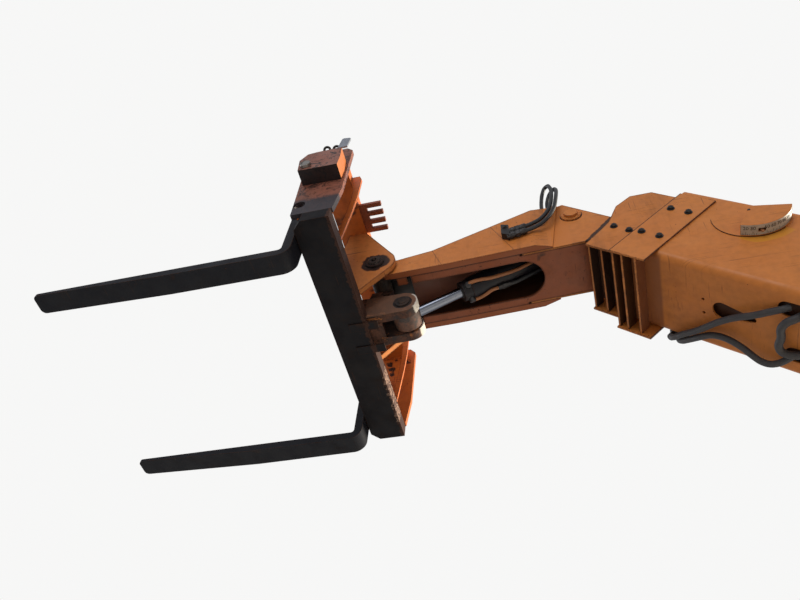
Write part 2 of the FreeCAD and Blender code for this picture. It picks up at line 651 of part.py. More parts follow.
def hose_ports():
    """Port block on the right side of the base section, where two of the hoses begin."""
    (near, y, _), (far, _, _) = HOSE_ROUTES[0][1][0], HOSE_ROUTES[1][1][0]
    margin = 2 * HOSE_R
    foot = BASE_BOTTOM + PORT_FACE
    return box((far - margin, near + margin), (y - 1.5 * HOSE_R, -BASE_HALF), (foot, foot + 2 * margin))


def hose_loop():
    """Two looped hoses from the coupling block over the head's top edge."""
    return Part.makeCompound([path_tube([Vector(*p) for p in route], LOOP_R) for route in LOOP_ROUTES])


def cylinder_axis():
    """Rear pin, rod pin and the unit vector from one to the other, in level axes."""
    rear, front = Vector(CYL_PIN_X, 0, CYL_PIN_Z), Vector(ROD_PIN_X, 0, ROD_PIN_Z)
    return rear, front, front.sub(rear).normalize()


def tilt_barrel():
    """Cylinder barrel with its rear eye and gland."""
    rear, _, axis = cylinder_axis()
    shoulder = BARREL_REACH - GLAND_LENGTH
    bar = bar_between(rear.add(axis * (BARREL_EYE_R / 2)), rear.add(axis * shoulder), BARREL_R)
    gland = bar_between(rear.add(axis * shoulder), rear.add(axis * BARREL_REACH), GLAND_R)
    eye = bar_y(rear.x, rear.z, BARREL_EYE_R, -EYE_WIDTH / 2, EYE_WIDTH / 2)
    bottom, end = rear.add(axis * (BARREL_EYE_R * 2)), rear.add(axis * (BARREL_REACH + THROUGH))
    bore = bar_between(bottom, end, ROD_R + ROD_ROOM)
    return fuse([bar, gland, eye]).cut(bore).cut(through_y(rear.x, rear.z, CYL_PIN_R + SEAT))


def tilt_rod():
    """Piston rod with its eye."""
    rear, front, axis = cylinder_axis()
    rod = bar_between(rear.add(axis * ROD_TAIL), front.sub(axis * (EYE_R - SIDE_GAP)), ROD_R)
    eye = bar_y(front.x, front.z, EYE_R, -EYE_WIDTH / 2, EYE_WIDTH / 2)
    return fuse([rod, eye]).cut(through_y(front.x, front.z, CYL_PIN_R + SEAT))


def eye_pin():
    """Middle stretch of the rod's pin, as long as the eye is wide."""
    return bar_y(ROD_PIN_X, ROD_PIN_Z, CYL_PIN_R, -EYE_WIDTH / 2, EYE_WIDTH / 2)


def bottom_bar():
    """Heavy bottom bar with chamfered front corners."""
    back, front = BAR_REAR_X, BAR_FRONT_X
    half, c = CARRIAGE_HALF, BAR_CHAMFER
    points = [(back, -half), (front - c, -half), (front, -half + c), (front, half - c), (front - c, half),
              (back, half)]
    return plan_plate(points, BAR_Z[0], BAR_Z[1] - BAR_Z[0])


def upper_beam():
    """Upper cross beam between the end plates, an open channel."""
    half = CARRIAGE_HALF - END_PLATE
    hollow = box((BEAM_X[0] + BEAM_BACK, BEAM_X[1] - BEAM_SKIN), (-half - OVERLAP, half + OVERLAP),
                 (BEAM_Z[0] + BEAM_SKIN, BEAM_Z[1] + THROUGH))
    return box(BEAM_X, (-half, half), BEAM_Z).cut(hollow)


def end_plate(y):
    """One end plate from its start in y, standing on the bar, with its hole and the shaft's bore."""
    (low, high), top = END_X, BEAM_Z[1]
    outline = [(low + 20, BAR_Z[1]), (high - 12, BAR_Z[1]), (high - 8, -100), (high, 110), (high - 16, top - 34),
               (high - 46, top), (low + 30, top), (low, top - 34), (low, -60)]
    cuts = [through_y(SHAFT_X, SHAFT_Z, SHAFT_R + SEAT), through_y(high - 38, BAR_Z[1] + 85, END_HOLE_R)]
    return side_plate(outline, y, END_PLATE).cut(Part.makeCompound(cuts))


def shaft_keeper():
    """Block outside the left end plate that holds the fork shaft."""
    outline = [(228, 42), (238, 150), (206, KEEPER_TOP - 6), (160, KEEPER_TOP), (40, KEEPER_TOP), (34, 120),
               (38, 34)]
    return side_plate(outline, CARRIAGE_HALF, KEEPER_WIDTH).cut(through_y(SHAFT_X, SHAFT_Z, SHAFT_R + SEAT))


def fork_shaft():
    """Shaft through the end plates and the forks' eyes."""
    reach = CARRIAGE_HALF + SHAFT_PROUD
    return bar_y(SHAFT_X, SHAFT_Z, SHAFT_R, -reach, reach + KEEPER_WIDTH)


def rear_straps():
    """Slender curved uprights from the bar to the beam behind the forks."""
    foot, beam, top = BAR_Z[1], BEAM_Z[0], BEAM_Z[1]
    outline = [(56, foot), (34, 10), (25, 150), (25, top - 34), (38, top), (BEAM_X[0], top), (BEAM_X[0], beam),
               (56, 230), (54, 150), (60, 20), (84, foot)]
    return Part.makeCompound([side_plate(outline, y, STRAP_PLATE) for y in both_sides(STRAP_Y, STRAP_PLATE)])


def pivot_plate(sign):
    """One pivot plate beside the gooseneck's nose, from the bar up to the beam."""
    start = both_sides(PIVOT_INNER, PIVOT_PLATE)[0 if sign > 0 else 1]
    r = PIVOT_PLATE_R
    outline = [(70, BAR_Z[1]), (200, BAR_Z[1]), (200, 40), (170, BEAM_Z[0]), (78, BEAM_Z[0]),
               (-r * 0.78, r * 0.63), (-r * 0.66, -r * 0.75)]
    boss = start if sign > 0 else start - PIVOT_BOSS_PROUD
    plate = fuse([side_plate(outline, start, PIVOT_PLATE), bar_y(0, 0, r, start, start + PIVOT_PLATE),
                  bar_y(0, 0, PIVOT_BOSS_R, boss, boss + PIVOT_PLATE + PIVOT_BOSS_PROUD)])
    return plate.cut(through_y(0, 0, NOSE_PIN_R + SEAT)).cut(through_y(SHAFT_X, SHAFT_Z, SHAFT_R + SEAT))


def pivot_pin():
    """Pivot pin of the carriage, proud of the bosses."""
    half = PIVOT_INNER + PIVOT_PLATE + PIVOT_BOSS_PROUD + PIN_PROUD
    return bar_y(0, 0, NOSE_PIN_R, -half, half)


def hitch_web():
    """Cross plate between the pivot plates in front of the nose."""
    return box((WEB_X, WEB_X + WEB_PLATE), (-PIVOT_INNER, PIVOT_INNER), (BAR_Z[1], -20))


def ear_web():
    """Level web between the two ears, behind the bar."""
    return box((-14, BAR_REAR_X), (-EAR_INNER, EAR_INNER), (-272, -256))


def rod_ears():
    """Two ears for the rod's pin, let over the bar, each with a windowed gusset on top."""
    x, z, r = ROD_PIN_X, ROD_PIN_Z, EAR_R
    outline = [(x + 14, z - r + 1), (BAR_REAR_X, z - r - 8), (BAR_REAR_X, BAR_Z[1]), (WEB_X, BAR_Z[1]),
               (WEB_X, -112), (60, -117), (x + 10, z + r - 1)]
    ears = []
    for y in both_sides(EAR_INNER, EAR_PLATE):
        middle = y + (EAR_PLATE - GUSSET_PLATE) / 2
        gusset = side_plate([(-64, -134), (-64, -68), (-52, -56), (46, -56), (58, -124)], middle, GUSSET_PLATE)
        gusset = gusset.cut(box((-46, -12), (-INNER_HALF, INNER_HALF), (-112, -80)))
        ear = fuse([side_plate(outline, y, EAR_PLATE), bar_y(x, z, r, y, y + EAR_PLATE), gusset])
        ears.append(ear.cut(through_y(x, z, CYL_PIN_R + SEAT)))
    return Part.makeCompound(ears)


def rod_pin_ends():
    """Stretches of the rod's pin in the two ears, with their heads."""
    outer = EAR_INNER + EAR_PLATE
    ends = []
    for y in both_sides(EAR_INNER, EAR_PLATE + EAR_HEAD):
        head = outer if y > 0 else y
        ends.append(fuse([bar_y(ROD_PIN_X, ROD_PIN_Z, CYL_PIN_R, y, y + EAR_PLATE + EAR_HEAD),
                          bar_y(ROD_PIN_X, ROD_PIN_Z, EAR_HEAD_R, head, head + EAR_HEAD)]))
    return Part.makeCompound(ends)


def comb_bracket():
    """Comb of four tines behind the upper beam that guides the hoses."""
    low, high = COMB_Y
    z = (BEAM_Z[0] + SIDE_GAP, BEAM_Z[0] + SIDE_GAP + COMB_PLATE)
    root = BEAM_X[0] - COMB_PLATE * 1.75
    step = (high - low - COMB_TINE) / 3
    starts = [low + i * step for i in range(4)]
    tines = [box((COMB_TIP_X, root + OVERLAP), (y, y + COMB_TINE), z) for y in starts]
    return fuse([box((root, BEAM_X[0]), COMB_Y, z)] + tines)


def keeper_rings():
    """Two small rings on top of the keeper block."""
    seat = KEEPER_TOP + RING_R + RING_WIRE_R + SEAT
    y = CARRIAGE_HALF + KEEPER_WIDTH / 2
    turned = Vector(0.3, 1, 0)
    return Part.makeCompound([Part.makeTorus(RING_R, RING_WIRE_R, Vector(x, y, seat), turned) for x in (128, 84)])


def top_tab():
    """Tab on the keeper block, leaning back."""
    y = CARRIAGE_HALF + KEEPER_WIDTH - TAB_PLATE
    foot, top = KEEPER_TOP, KEEPER_TOP + 84
    plate = side_plate([(42, foot), (86, foot), (58, top), (14, top)], y, TAB_PLATE)
    across = [e for e in plate.Edges if abs(e.tangentAt(e.FirstParameter).y) > 0.99]
    return plate.makeFillet(10, [e for e in across if e.CenterOfMass.z > foot + 1])


def fork():
    """One fork about y = 0: tapered blade, heel, shank and the eye round the shaft."""
    face, back = FORK_FACE_X, FORK_FACE_X - FORK_THICK
    floor, top = BLADE_FLOOR_Z, BLADE_FLOOR_Z + FORK_THICK
    half, tip = FORK_WIDTH / 2, FORK_FACE_X + FORK_LENGTH
    outline = [(back, floor), (face + 0.45 * FORK_LENGTH, floor), (tip, top - FORK_TIP), (tip, top), (face, top),
               (face, SHAFT_Z), (back, SHAFT_Z)]
    solid = side_plate(outline, -half, FORK_WIDTH)

    def edges_at(x, z):
        return [e for e in solid.Edges if all(math.hypot(v.X - x, v.Z - z) < SEAT for v in e.Vertexes)]
    solid = solid.makeFillet(FORK_HEEL_R, edges_at(back, floor))
    solid = solid.makeFillet(FORK_INNER_R, edges_at(face, top))
    corners = [e for e in solid.Edges if all(abs(v.X - tip) < SEAT for v in e.Vertexes)
               and abs(e.Vertexes[0].Y - e.Vertexes[1].Y) < SEAT]
    solid = solid.makeFillet(FORK_TIP_R, corners)
    neck = side_plate([(face, SHAFT_Z - 60), (face, SHAFT_Z), (SHAFT_X + 20, SHAFT_Z + FORK_EYE_R * 0.9),
                       (SHAFT_X, SHAFT_Z - 30), (back, SHAFT_Z - 60)], -half, FORK_WIDTH)
    eye = bar_y(SHAFT_X, SHAFT_Z, FORK_EYE_R, -half, half)
    return fuse([solid, neck, eye]).cut(through_y(SHAFT_X, SHAFT_Z, SHAFT_R + FORK_ROOM))


def main():
    """Builds every piece in the boom's or in level axes and writes it."""
    left, right = 1, -1
    in_boom = {
        "base_section": base_section(), "base_collar": base_collar(), "rear_pivot": rear_pivot(),
        "base_pads": pads_in(BASE_HALF, BASE_WALL, BASE_BOTTOM, BASE_TOP, MID_HALF, MID_BOTTOM, MID_TOP,
                             BASE_FRONT - PAD_SETBACK),
        "rear_cheeks": rear_cheeks(),
        "lift_lugs": lug_pair(LIFT_LUG_S, LIFT_LUG_R, LIFT_BORE_R, LIFT_LUG_PLATE, LIFT_LUG_GAP, LIFT_LUG_DROP,
                              LIFT_LUG_FOOT),
        "levelling_lugs": lug_pair(LEVEL_LUG_S, LEVEL_LUG_R, LEVEL_BORE_R, LEVEL_LUG_PLATE, LEVEL_LUG_GAP,
                                   LEVEL_LUG_DROP, LEVEL_LUG_FOOT),
        "dial_back": dial_back(), "dial_cover": dial_cover(), "dial_pointer": dial_pointer(),
        "boom_hoses": boom_hoses(), "hose_ports": hose_ports(), "mid_section": mid_section(),
        "mid_collar": mid_collar(),
        "mid_pads": pads_in(MID_HALF, MID_WALL, MID_BOTTOM, MID_TOP, INNER_HALF, INNER_BOTTOM, INNER_TOP, MID_FRONT),
        "inner_section": inner_section(),
    }
    in_level = {
        "head_left_side": head_side(INNER_HALF), "head_right_side": head_side(-HEAD_HALF), "head_floor": head_floor(),
        "head_roof": head_roof(), "nose_bush": nose_bush(), "cylinder_pin": cylinder_pin(),
        "hose_couplings": hose_couplings(), "hose_loop": hose_loop(), "tilt_barrel": tilt_barrel(),
        "tilt_rod": tilt_rod(), "eye_pin": eye_pin(), "bottom_bar": bottom_bar(), "upper_beam": upper_beam(),
        "left_end_plate": end_plate(CARRIAGE_HALF - END_PLATE), "right_end_plate": end_plate(-CARRIAGE_HALF),
        "shaft_keeper": shaft_keeper(), "fork_shaft": fork_shaft(), "rear_straps": rear_straps(),
        "left_pivot_plate": pivot_plate(left), "right_pivot_plate": pivot_plate(right), "pivot_pin": pivot_pin(),
        "hitch_web": hitch_web(), "ear_web": ear_web(), "rod_ears": rod_ears(), "rod_pin_ends": rod_pin_ends(),
        "comb_bracket": comb_bracket(), "keeper_rings": keeper_rings(), "top_tab": top_tab(),
        "left_fork": fork().translated(Vector(0, FORK_Y, 0)), "right_fork": fork().translated(Vector(0, -FORK_Y, 0)),
    }
    for frame, pieces in ((boom_frame(), in_boom), (nose_frame(), in_level)):
        for name, shape in pieces.items():
            save(name, shape, frame)


main()
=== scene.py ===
"""Looks of a loader boom with its fork carriage: finishes, fastenings, welds, dial scale, camera and studio."""
import logging
import math
from dataclasses import dataclass, field
from enum import Enum
from functools import partialmethod
from typing import Iterable, Optional, Sequence

import bmesh
import bpy
import numpy as np
from mathutils import Matrix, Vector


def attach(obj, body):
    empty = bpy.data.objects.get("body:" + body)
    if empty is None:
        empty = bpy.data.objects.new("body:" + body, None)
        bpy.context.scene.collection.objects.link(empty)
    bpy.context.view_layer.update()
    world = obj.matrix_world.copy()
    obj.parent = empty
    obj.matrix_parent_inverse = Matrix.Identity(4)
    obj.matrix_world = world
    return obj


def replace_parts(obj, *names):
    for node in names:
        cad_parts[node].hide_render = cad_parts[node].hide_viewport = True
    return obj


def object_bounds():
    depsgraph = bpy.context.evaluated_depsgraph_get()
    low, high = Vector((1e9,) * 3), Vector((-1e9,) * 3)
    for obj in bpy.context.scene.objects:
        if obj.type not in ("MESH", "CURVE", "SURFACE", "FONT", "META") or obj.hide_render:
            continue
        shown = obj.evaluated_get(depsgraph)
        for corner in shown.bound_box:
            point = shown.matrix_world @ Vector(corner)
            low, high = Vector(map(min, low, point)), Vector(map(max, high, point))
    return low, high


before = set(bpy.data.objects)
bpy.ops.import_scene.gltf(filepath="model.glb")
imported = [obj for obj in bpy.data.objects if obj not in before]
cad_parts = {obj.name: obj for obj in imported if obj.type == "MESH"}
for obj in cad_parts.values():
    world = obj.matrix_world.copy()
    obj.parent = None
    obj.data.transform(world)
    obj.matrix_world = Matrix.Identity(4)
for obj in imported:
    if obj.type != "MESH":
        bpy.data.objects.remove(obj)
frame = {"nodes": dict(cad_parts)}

CAD_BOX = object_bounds()
LOG = logging.getLogger("loader_boom")

Pair = tuple[float, float]
Point = tuple[float, float, float]
Colour = tuple[float, float, float]
Ends = Optional[Pair]
Socket = bpy.types.NodeSocket
Material = bpy.types.Material
Object = bpy.types.Object

SIDES = (1, -1)
FULL_TURN = 2 * math.pi


@dataclass(frozen=True)
class Axes:
    """Axes in which a sub-assembly is measured, in millimetres.

    Attributes:
        origin: their origin in the row frame, in metres.
        lift: how far their X is raised above level, in degrees.
    """

    origin: Point
    lift: float

    def turn(self, vectors: np.ndarray) -> np.ndarray:
        """Turns directions into the row frame by the lift about Y."""
        v = np.asarray(vectors, float)
        c, s = math.cos(math.radians(self.lift)), math.sin(math.radians(self.lift))
        return np.stack([v[..., 0] * c - v[..., 2] * s, v[..., 1], v[..., 0] * s + v[..., 2] * c], -1)

    def place(self, points: np.ndarray) -> np.ndarray:
        """Turns points in millimetres into row-frame metres."""
        return self.turn(np.asarray(points, float) / 1000) + np.asarray(self.origin)

    def at(self, point: Point, lift: float) -> "Axes":
        """Axes at a point of these, raised by more degrees."""
        return Axes(tuple(self.place(np.array(point))), self.lift + lift)


BOOM = Axes((0.0, 0.0, 0.0), 42.88)
LEVEL = Axes((4.348286, 0.0, 3.033456), 0.0)
BARREL = Axes((3.393286, 0.0, 3.265456), -26.812)
MOUTH = BOOM.at((4288.0, 0.0, 151.0), 2.611)
NOSE = BOOM.at((4510.0, 0.0, 17.0), -5.4)

# places that finishes and pieces share: (along, height) in millimetres of their axes
DIAL = (3919.0, 298.0)
CYLINDER_PIN = (-955.0, 232.0)
ROD_EYE = (-120.0, -190.0)


class Slot(Enum):
    """Names of the record's material slots."""

    PAINT = "orange_paint"
    DARK = "dark_paint"
    STEEL = "bare_steel"
    RUBBER = "hose_rubber"
    FITTING = "fitting_steel"
    POINTER = "bare_pointer"


# ---------------------------------------------------------------------------------------------- surfaces


def quads(rows: int, cols: int, start: int) -> np.ndarray:
    """Faces of a grid that closes on itself along its columns.

    Args:
        rows: points along the first parameter.
        cols: points round the second parameter.
        start: index of the grid's first vertex.

    Returns:
        Vertex indices, four to a face.
    """
    i, j = np.meshgrid(np.arange(rows - 1), np.arange(cols), indexing="ij")
    near, far, after = i * cols, (i + 1) * cols, (j + 1) % cols
    return np.stack([near + j, near + after, far + after, far + j], -1).reshape(-1, 4) + start


def across(axis: np.ndarray) -> tuple[np.ndarray, np.ndarray]:
    """Two unit vectors square to each direction and to each other.

    The first is the cross product of the direction with a reference that it isn't parallel to, the second
    that of the direction with the first.
    """
    axis = axis / np.linalg.norm(axis, axis=-1, keepdims=True)
    mean = np.abs(axis.reshape(-1, 3)).mean(0)
    reference = np.eye(3)[int(np.argmin(mean))]
    u = np.cross(axis, reference)
    u = u / np.linalg.norm(u, axis=-1, keepdims=True)
    return u, np.cross(axis, u)


def drum(radius: float, foot: float, shoulder: float, top: float, crown: float) -> list[Pair]:
    """Profile of a drum or nut: straight from foot to shoulder, then narrowed to the crown at the top."""
    return [(0, foot), (radius, foot), (radius, shoulder), (crown, top), (0, top)]


def ferrule(neck: float, radius: float, lip: float, heights: Sequence[float]) -> list[Pair]:
    """Profile of a hose's crimped sleeve: radii of its neck, straight part and lip, at four heights."""
    foot, low, high, top = heights
    return [(0, foot), (neck, foot), (radius, low), (radius, high), (lip, top), (0, top)]


def turned(profile: Sequence[Pair], centre: Point, axis: Point, sides: int) -> np.ndarray:
    """A shape of revolution: radius and height from the profile, turned once round the axis.

    A point is the centre, plus its height along the axis, plus its radius times the cosine and the sine of
    the angle along the two vectors across the axis.

    Args:
        profile: (radius, height) pairs in millimetres, from one pole to the other.
        centre: foot of the axis.
        axis: direction of the axis.
        sides: points round the axis.

    Returns:
        A (profile, sides, 3) grid.
    """
    a = np.asarray(axis, float) / np.linalg.norm(axis)
    u, v = across(a[None])
    angle = np.linspace(0, FULL_TURN, sides, endpoint=False) + math.pi / sides
    ring = np.cos(angle)[:, None] * u + np.sin(angle)[:, None] * v
    r, h = np.asarray(profile, float).T
    return np.asarray(centre, float) + h[:, None, None] * a + r[:, None, None] * ring[None]


def lengths(p: np.ndarray, step: float) -> tuple[np.ndarray, np.ndarray]:
    """Lengths along a polyline at its own points, and at samples about a step apart."""
    knots = np.concatenate([[0], np.cumsum(np.linalg.norm(np.diff(p, axis=0), axis=1))])
    return knots, np.linspace(0, knots[-1], max(int(knots[-1] / step), 2) + 1)


def smooth_path(points: Sequence[Point], step: float) -> np.ndarray:
    """A curve through points: a cubic whose slope at each point is that of its neighbours' chord.

    Args:
        points: the points that it passes.
        step: distance between its samples, in millimetres.

    Returns:
        Samples as an (n, 3) array.
    """
    p = np.asarray(points, float)
    knots, t = lengths(p, step)
    slope = np.gradient(p, knots, axis=0)
    k = np.clip(np.searchsorted(knots, t, side="right") - 1, 0, len(p) - 2)
    h = (knots[k + 1] - knots[k])[:, None]
    w = (t - knots[k])[:, None] / h
    return ((1 + 2 * w) * (1 - w) ** 2 * p[k] + w * (1 - w) ** 2 * h * slope[k]
            + w ** 2 * (3 - 2 * w) * p[k + 1] + w ** 2 * (w - 1) * h * slope[k + 1])


def straight_path(points: Sequence[Point], step: float) -> np.ndarray:
    """Samples of a polyline, evenly spaced by its length."""
    p = np.asarray(points, float)
    knots, t = lengths(p, step)
    return np.stack([np.interp(t, knots, p[:, i]) for i in range(3)], -1)


def capped(rows: np.ndarray, first: np.ndarray, last: np.ndarray) -> np.ndarray:
    """A grid closed by a pole before its first row and one after its last."""
    poles = [np.broadcast_to(pole, (1, *rows.shape[1:])) for pole in (first, last)]
    return np.concatenate([poles[0], rows, poles[1]])


def swept(path: np.ndarray, radius: np.ndarray, sides: int) -> np.ndarray:
    """A tube along a path, closed at both ends: each row is a ring square to the path's direction.

    Args:
        path: samples of the middle line.
        radius: radius at each sample, in millimetres.
        sides: points round the tube.

    Returns:
        A (samples + 2, sides, 3) grid, whose first and last rows are its poles.
    """
    u, v = across(np.gradient(path, axis=0))
    angle = np.linspace(0, FULL_TURN, sides, endpoint=False)
    ring = np.cos(angle)[None, :, None] * u[:, None] + np.sin(angle)[None, :, None] * v[:, None]
    rows = path[:, None] + np.broadcast_to(radius, len(path))[:, None, None] * ring
    return capped(rows, path[0], path[-1])


def bead(points: Sequence[Point], size: float) -> np.ndarray:
    """A weld bead: a thin tube whose radius swells by a quick and a slow sine along the run."""
    pitch = size * 0.75
    path = straight_path(points, pitch)
    along = np.arange(len(path)) * pitch
    ripple = 0.10 * np.sin(along * FULL_TURN / (size * 2.6))
    drift = 0.06 * np.sin(along * 0.071 + points[0][0])
    return swept(path, size * (1 + ripple + drift), 7)


def slab(corners: Sequence[Point], normal: Point, thick: float) -> np.ndarray:
    """A thin closed plate: its outline and the same moved along the normal, each drawn in to its middle."""
    p = np.asarray(corners, float)
    n = np.asarray(normal, float) / np.linalg.norm(normal) * thick
    middle = np.broadcast_to(p.mean(0), p.shape)
    return np.stack([middle, p, p + n, middle + n])


def link(name: str, data: bpy.types.ID) -> Object:
    """Puts data into the scene as an object."""
    made = bpy.data.objects.new(name, data)
    bpy.context.scene.collection.objects.link(made)
    return made


def stand(made: Object, columns: Sequence[np.ndarray], place: Point) -> None:
    """Sets an object's place and the row-frame directions of its own three axes."""
    matrix = np.eye(4)
    matrix[:3, :3], matrix[:3, 3] = np.stack(columns, 1), place
    made.matrix_world = Matrix(matrix.tolist())


def mount(mesh: bpy.types.Mesh, body: str, material: Material) -> Object:
    """Dresses a mesh with one material and makes it an object that rides on a body.

    Args:
        mesh: the mesh, named as its object will be.
        body: the CAD body that it rides on.
        material: its material.

    Returns:
        The new object.
    """
    mesh.materials.clear()
    mesh.materials.append(material)
    made = link(mesh.name, mesh)
    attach(made, body)
    LOG.info("piece %s: %d faces on %s", made.name, len(mesh.polygons), body)
    return made


@dataclass
class Piece:
    """A new mesh made of closed grids, in one set of axes.

    Attributes:
        name: the object's name.
        axes: axes that the grids are measured in.
        grids: (rows, columns, 3) arrays in millimetres.
    """

    name: str
    axes: Axes
    grids: list[np.ndarray] = field(default_factory=list)

    def add(self, *grids: np.ndarray) -> None:
        """Takes more grids."""
        self.grids.extend(grids)

    def make(self, body: str, slot: Slot, material: Material, sharp: float = 35.0) -> Object:
        """Writes the mesh with its doubled points joined and its normals outward, and mounts it.

        Args:
            body: the CAD body that it rides on.
            slot: the record's slot that its finish stands for; not used.
            material: its material.
            sharp: edges that turn by more than this many degrees stay sharp.

        Returns:
            The new object.
        """
        starts = np.cumsum([0] + [g.shape[0] * g.shape[1] for g in self.grids])
        points = self.axes.place(np.concatenate([g.reshape(-1, 3) for g in self.grids]))
        faces = np.concatenate([quads(*g.shape[:2], start) for g, start in zip(self.grids, starts)])
        mesh = bpy.data.meshes.new(self.name)
        mesh.from_pydata(points.tolist(), [], faces.tolist())
        work = bmesh.new()
        work.from_mesh(mesh)
        bmesh.ops.remove_doubles(work, verts=work.verts, dist=2e-5)
        bmesh.ops.dissolve_degenerate(work, edges=work.edges, dist=1e-6)
        bmesh.ops.recalc_face_normals(work, faces=work.faces)
        work.to_mesh(mesh)
        work.free()
        mesh.polygons.foreach_set("use_smooth", np.ones(len(mesh.polygons), bool))
        mesh.set_sharp_from_angle(angle=math.radians(sharp))
        return mount(mesh, body, material)


# ---------------------------------------------------------------------------------------------- finishes


class Graph:
    """A material's node tree, with a method for each kind of node that the finishes use."""

    def __init__(self, name: str) -> None:
        """Starts a material with its shader and object coordinates."""
        self.material = bpy.data.materials.new(name)
        self.material.use_nodes = True
        self.tree = self.material.node_tree
        self.shader = self.tree.nodes["Principled BSDF"]
        self.coords = self.node("TexCoord").outputs["Object"]

    def node(self, kind: str, **settings: object) -> bpy.types.Node:
        """Adds a shader node and sets its properties."""
        made = self.tree.nodes.new("ShaderNode" + kind)
        for key, value in settings.items():
            setattr(made, key, value)
        return made

    def feed(self, socket: Socket, value: object) -> None:
        """Links a socket to an output, or sets its constant."""
        if isinstance(value, Socket):
            self.tree.links.new(value, socket)
        elif isinstance(value, tuple) and len(value) == 3 and socket.type == "RGBA":
            socket.default_value = (*value, 1.0)
        else:
            socket.default_value = value

    def mapped(self, scale: Point, turn: Point, move: Point = (0.0, 0.0, 0.0)) -> Socket:
        """Object coordinates scaled, then turned by degrees, then moved."""
        made = self.node("Mapping")
        radians = tuple(math.radians(angle) for angle in turn)
        for key, value in (("Vector", self.coords), ("Rotation", radians), ("Scale", scale), ("Location", move)):
            self.feed(made.inputs[key], value)
        return made.outputs["Vector"]

    def noise(self, scale: float, detail: float = 4.0, rough: float = 0.55, distort: float = 0.0,
              vector: Optional[Socket] = None) -> Socket:
        """Fractal noise between 0 and 1."""
        made = self.node("TexNoise")
        for key, value in (("Vector", vector or self.coords), ("Scale", scale), ("Detail", detail),
                           ("Roughness", rough), ("Distortion", distort)):
            self.feed(made.inputs[key], value)
        return made.outputs["Fac"]

    def calc(self, how: str, a: object, b: object = 0.0, clamp: bool = False) -> Socket:
        """Arithmetic on one or two values."""
        made = self.node("Math", operation=how, use_clamp=clamp)
        self.feed(made.inputs[0], a)
        self.feed(made.inputs[1], b)
        return made.outputs[0]

    plus = partialmethod(calc, "ADD")
    less = partialmethod(calc, "SUBTRACT")
    times = partialmethod(calc, "MULTIPLY")
    most = partialmethod(calc, "MAXIMUM")
    size = partialmethod(calc, "ABSOLUTE")

    def step(self, value: Socket, low: float, high: float, out_low: float = 0.0,
             out_high: float = 1.0) -> Socket:
        """Maps low to high onto the outputs, smoothly and clamped."""
        made = self.node("MapRange", interpolation_type="SMOOTHSTEP", clamp=True)
        for socket, given in zip(made.inputs, (value, low, high, out_low, out_high)):
            self.feed(socket, given)
        return made.outputs["Result"]

    def mix(self, factor: object, a: object, b: object) -> Socket:
        """Mixes two colours."""
        made = self.node("Mix", data_type="RGBA")
        self.feed(made.inputs["Factor"], factor)
        self.feed(made.inputs[6], a)
        self.feed(made.inputs[7], b)
        return made.outputs[2]

    def parts(self, vector: Socket) -> tuple[Socket, ...]:
        """X, Y and Z of a vector."""
        split = self.node("SeparateXYZ")
        self.feed(split.inputs[0], vector)
        return tuple(split.outputs)

    def local(self, axes: Axes) -> tuple[Socket, ...]:
        """X, Y and Z in millimetres of a sub-assembly's axes: scaled, turned back by the lift, then moved."""
        back = Axes((0.0, 0.0, 0.0), -axes.lift)
        move = tuple(-1000.0 * back.turn(np.asarray(axes.origin)))
        return self.parts(self.mapped((1000.0, 1000.0, 1000.0), (0.0, axes.lift, 0.0), move))

    def within(self, value: Socket, low: float, high: float, soft: float) -> Socket:
        """One between two ends of a value and zero outside, with a soft border."""
        return self.times(self.step(value, low - soft, low), self.step(value, high, high + soft, 1.0, 0.0))

    def veins(self, scale: float, detail: float, rough: float, distort: float) -> Socket:
        """How far a noise is from its middle value, which is zero along thin winding lines."""
        return self.size(self.less(self.noise(scale, detail, rough, distort), 0.5))

    def normal(self) -> Socket:
        """The surface's own normal."""
        return self.node("NewGeometry").outputs["True Normal"]

    def upward(self) -> Socket:
        """Height of the surface's normal, from minus one to one."""
        return self.parts(self.normal())[2]

    def edges(self, width: float) -> Socket:
        """How near the surface is to an outer or inner edge: one less the likeness of the rounded normal."""
        rounded = self.node("Bevel", samples=4)
        rounded.inputs["Radius"].default_value = width
        dot = self.node("VectorMath", operation="DOT_PRODUCT")
        self.feed(dot.inputs[0], rounded.outputs["Normal"])
        self.feed(dot.inputs[1], self.normal())
        return self.less(1.0, dot.outputs["Value"], clamp=True)

    def stained(self, base: Socket, stains: Iterable["Stain"]) -> Socket:
        """A colour with overlays over it: real stains, painted shade and painted highlights."""
        for overlay in stains:
            base = self.mix(overlay.mask(self), base, overlay.colour)
        return base

    def finish(self, relief: Optional[tuple[Socket, float, float]] = None, **sockets: object) -> Material:
        """Feeds the shader and gives the material.

        Args:
            relief: a height, how strongly it shows and how deep it is, in metres.
            sockets: values of the shader's sockets, named with underscores for spaces.
        """
        if relief:
            made = self.node("Bump")
            for key, value in zip(("Height", "Strength", "Distance"), relief):
                self.feed(made.inputs[key], value)
            sockets["Normal"] = made.outputs["Normal"]
        for key, value in sockets.items():
            self.feed(self.shader.inputs[key.replace("_", " ")], value)
        return self.material


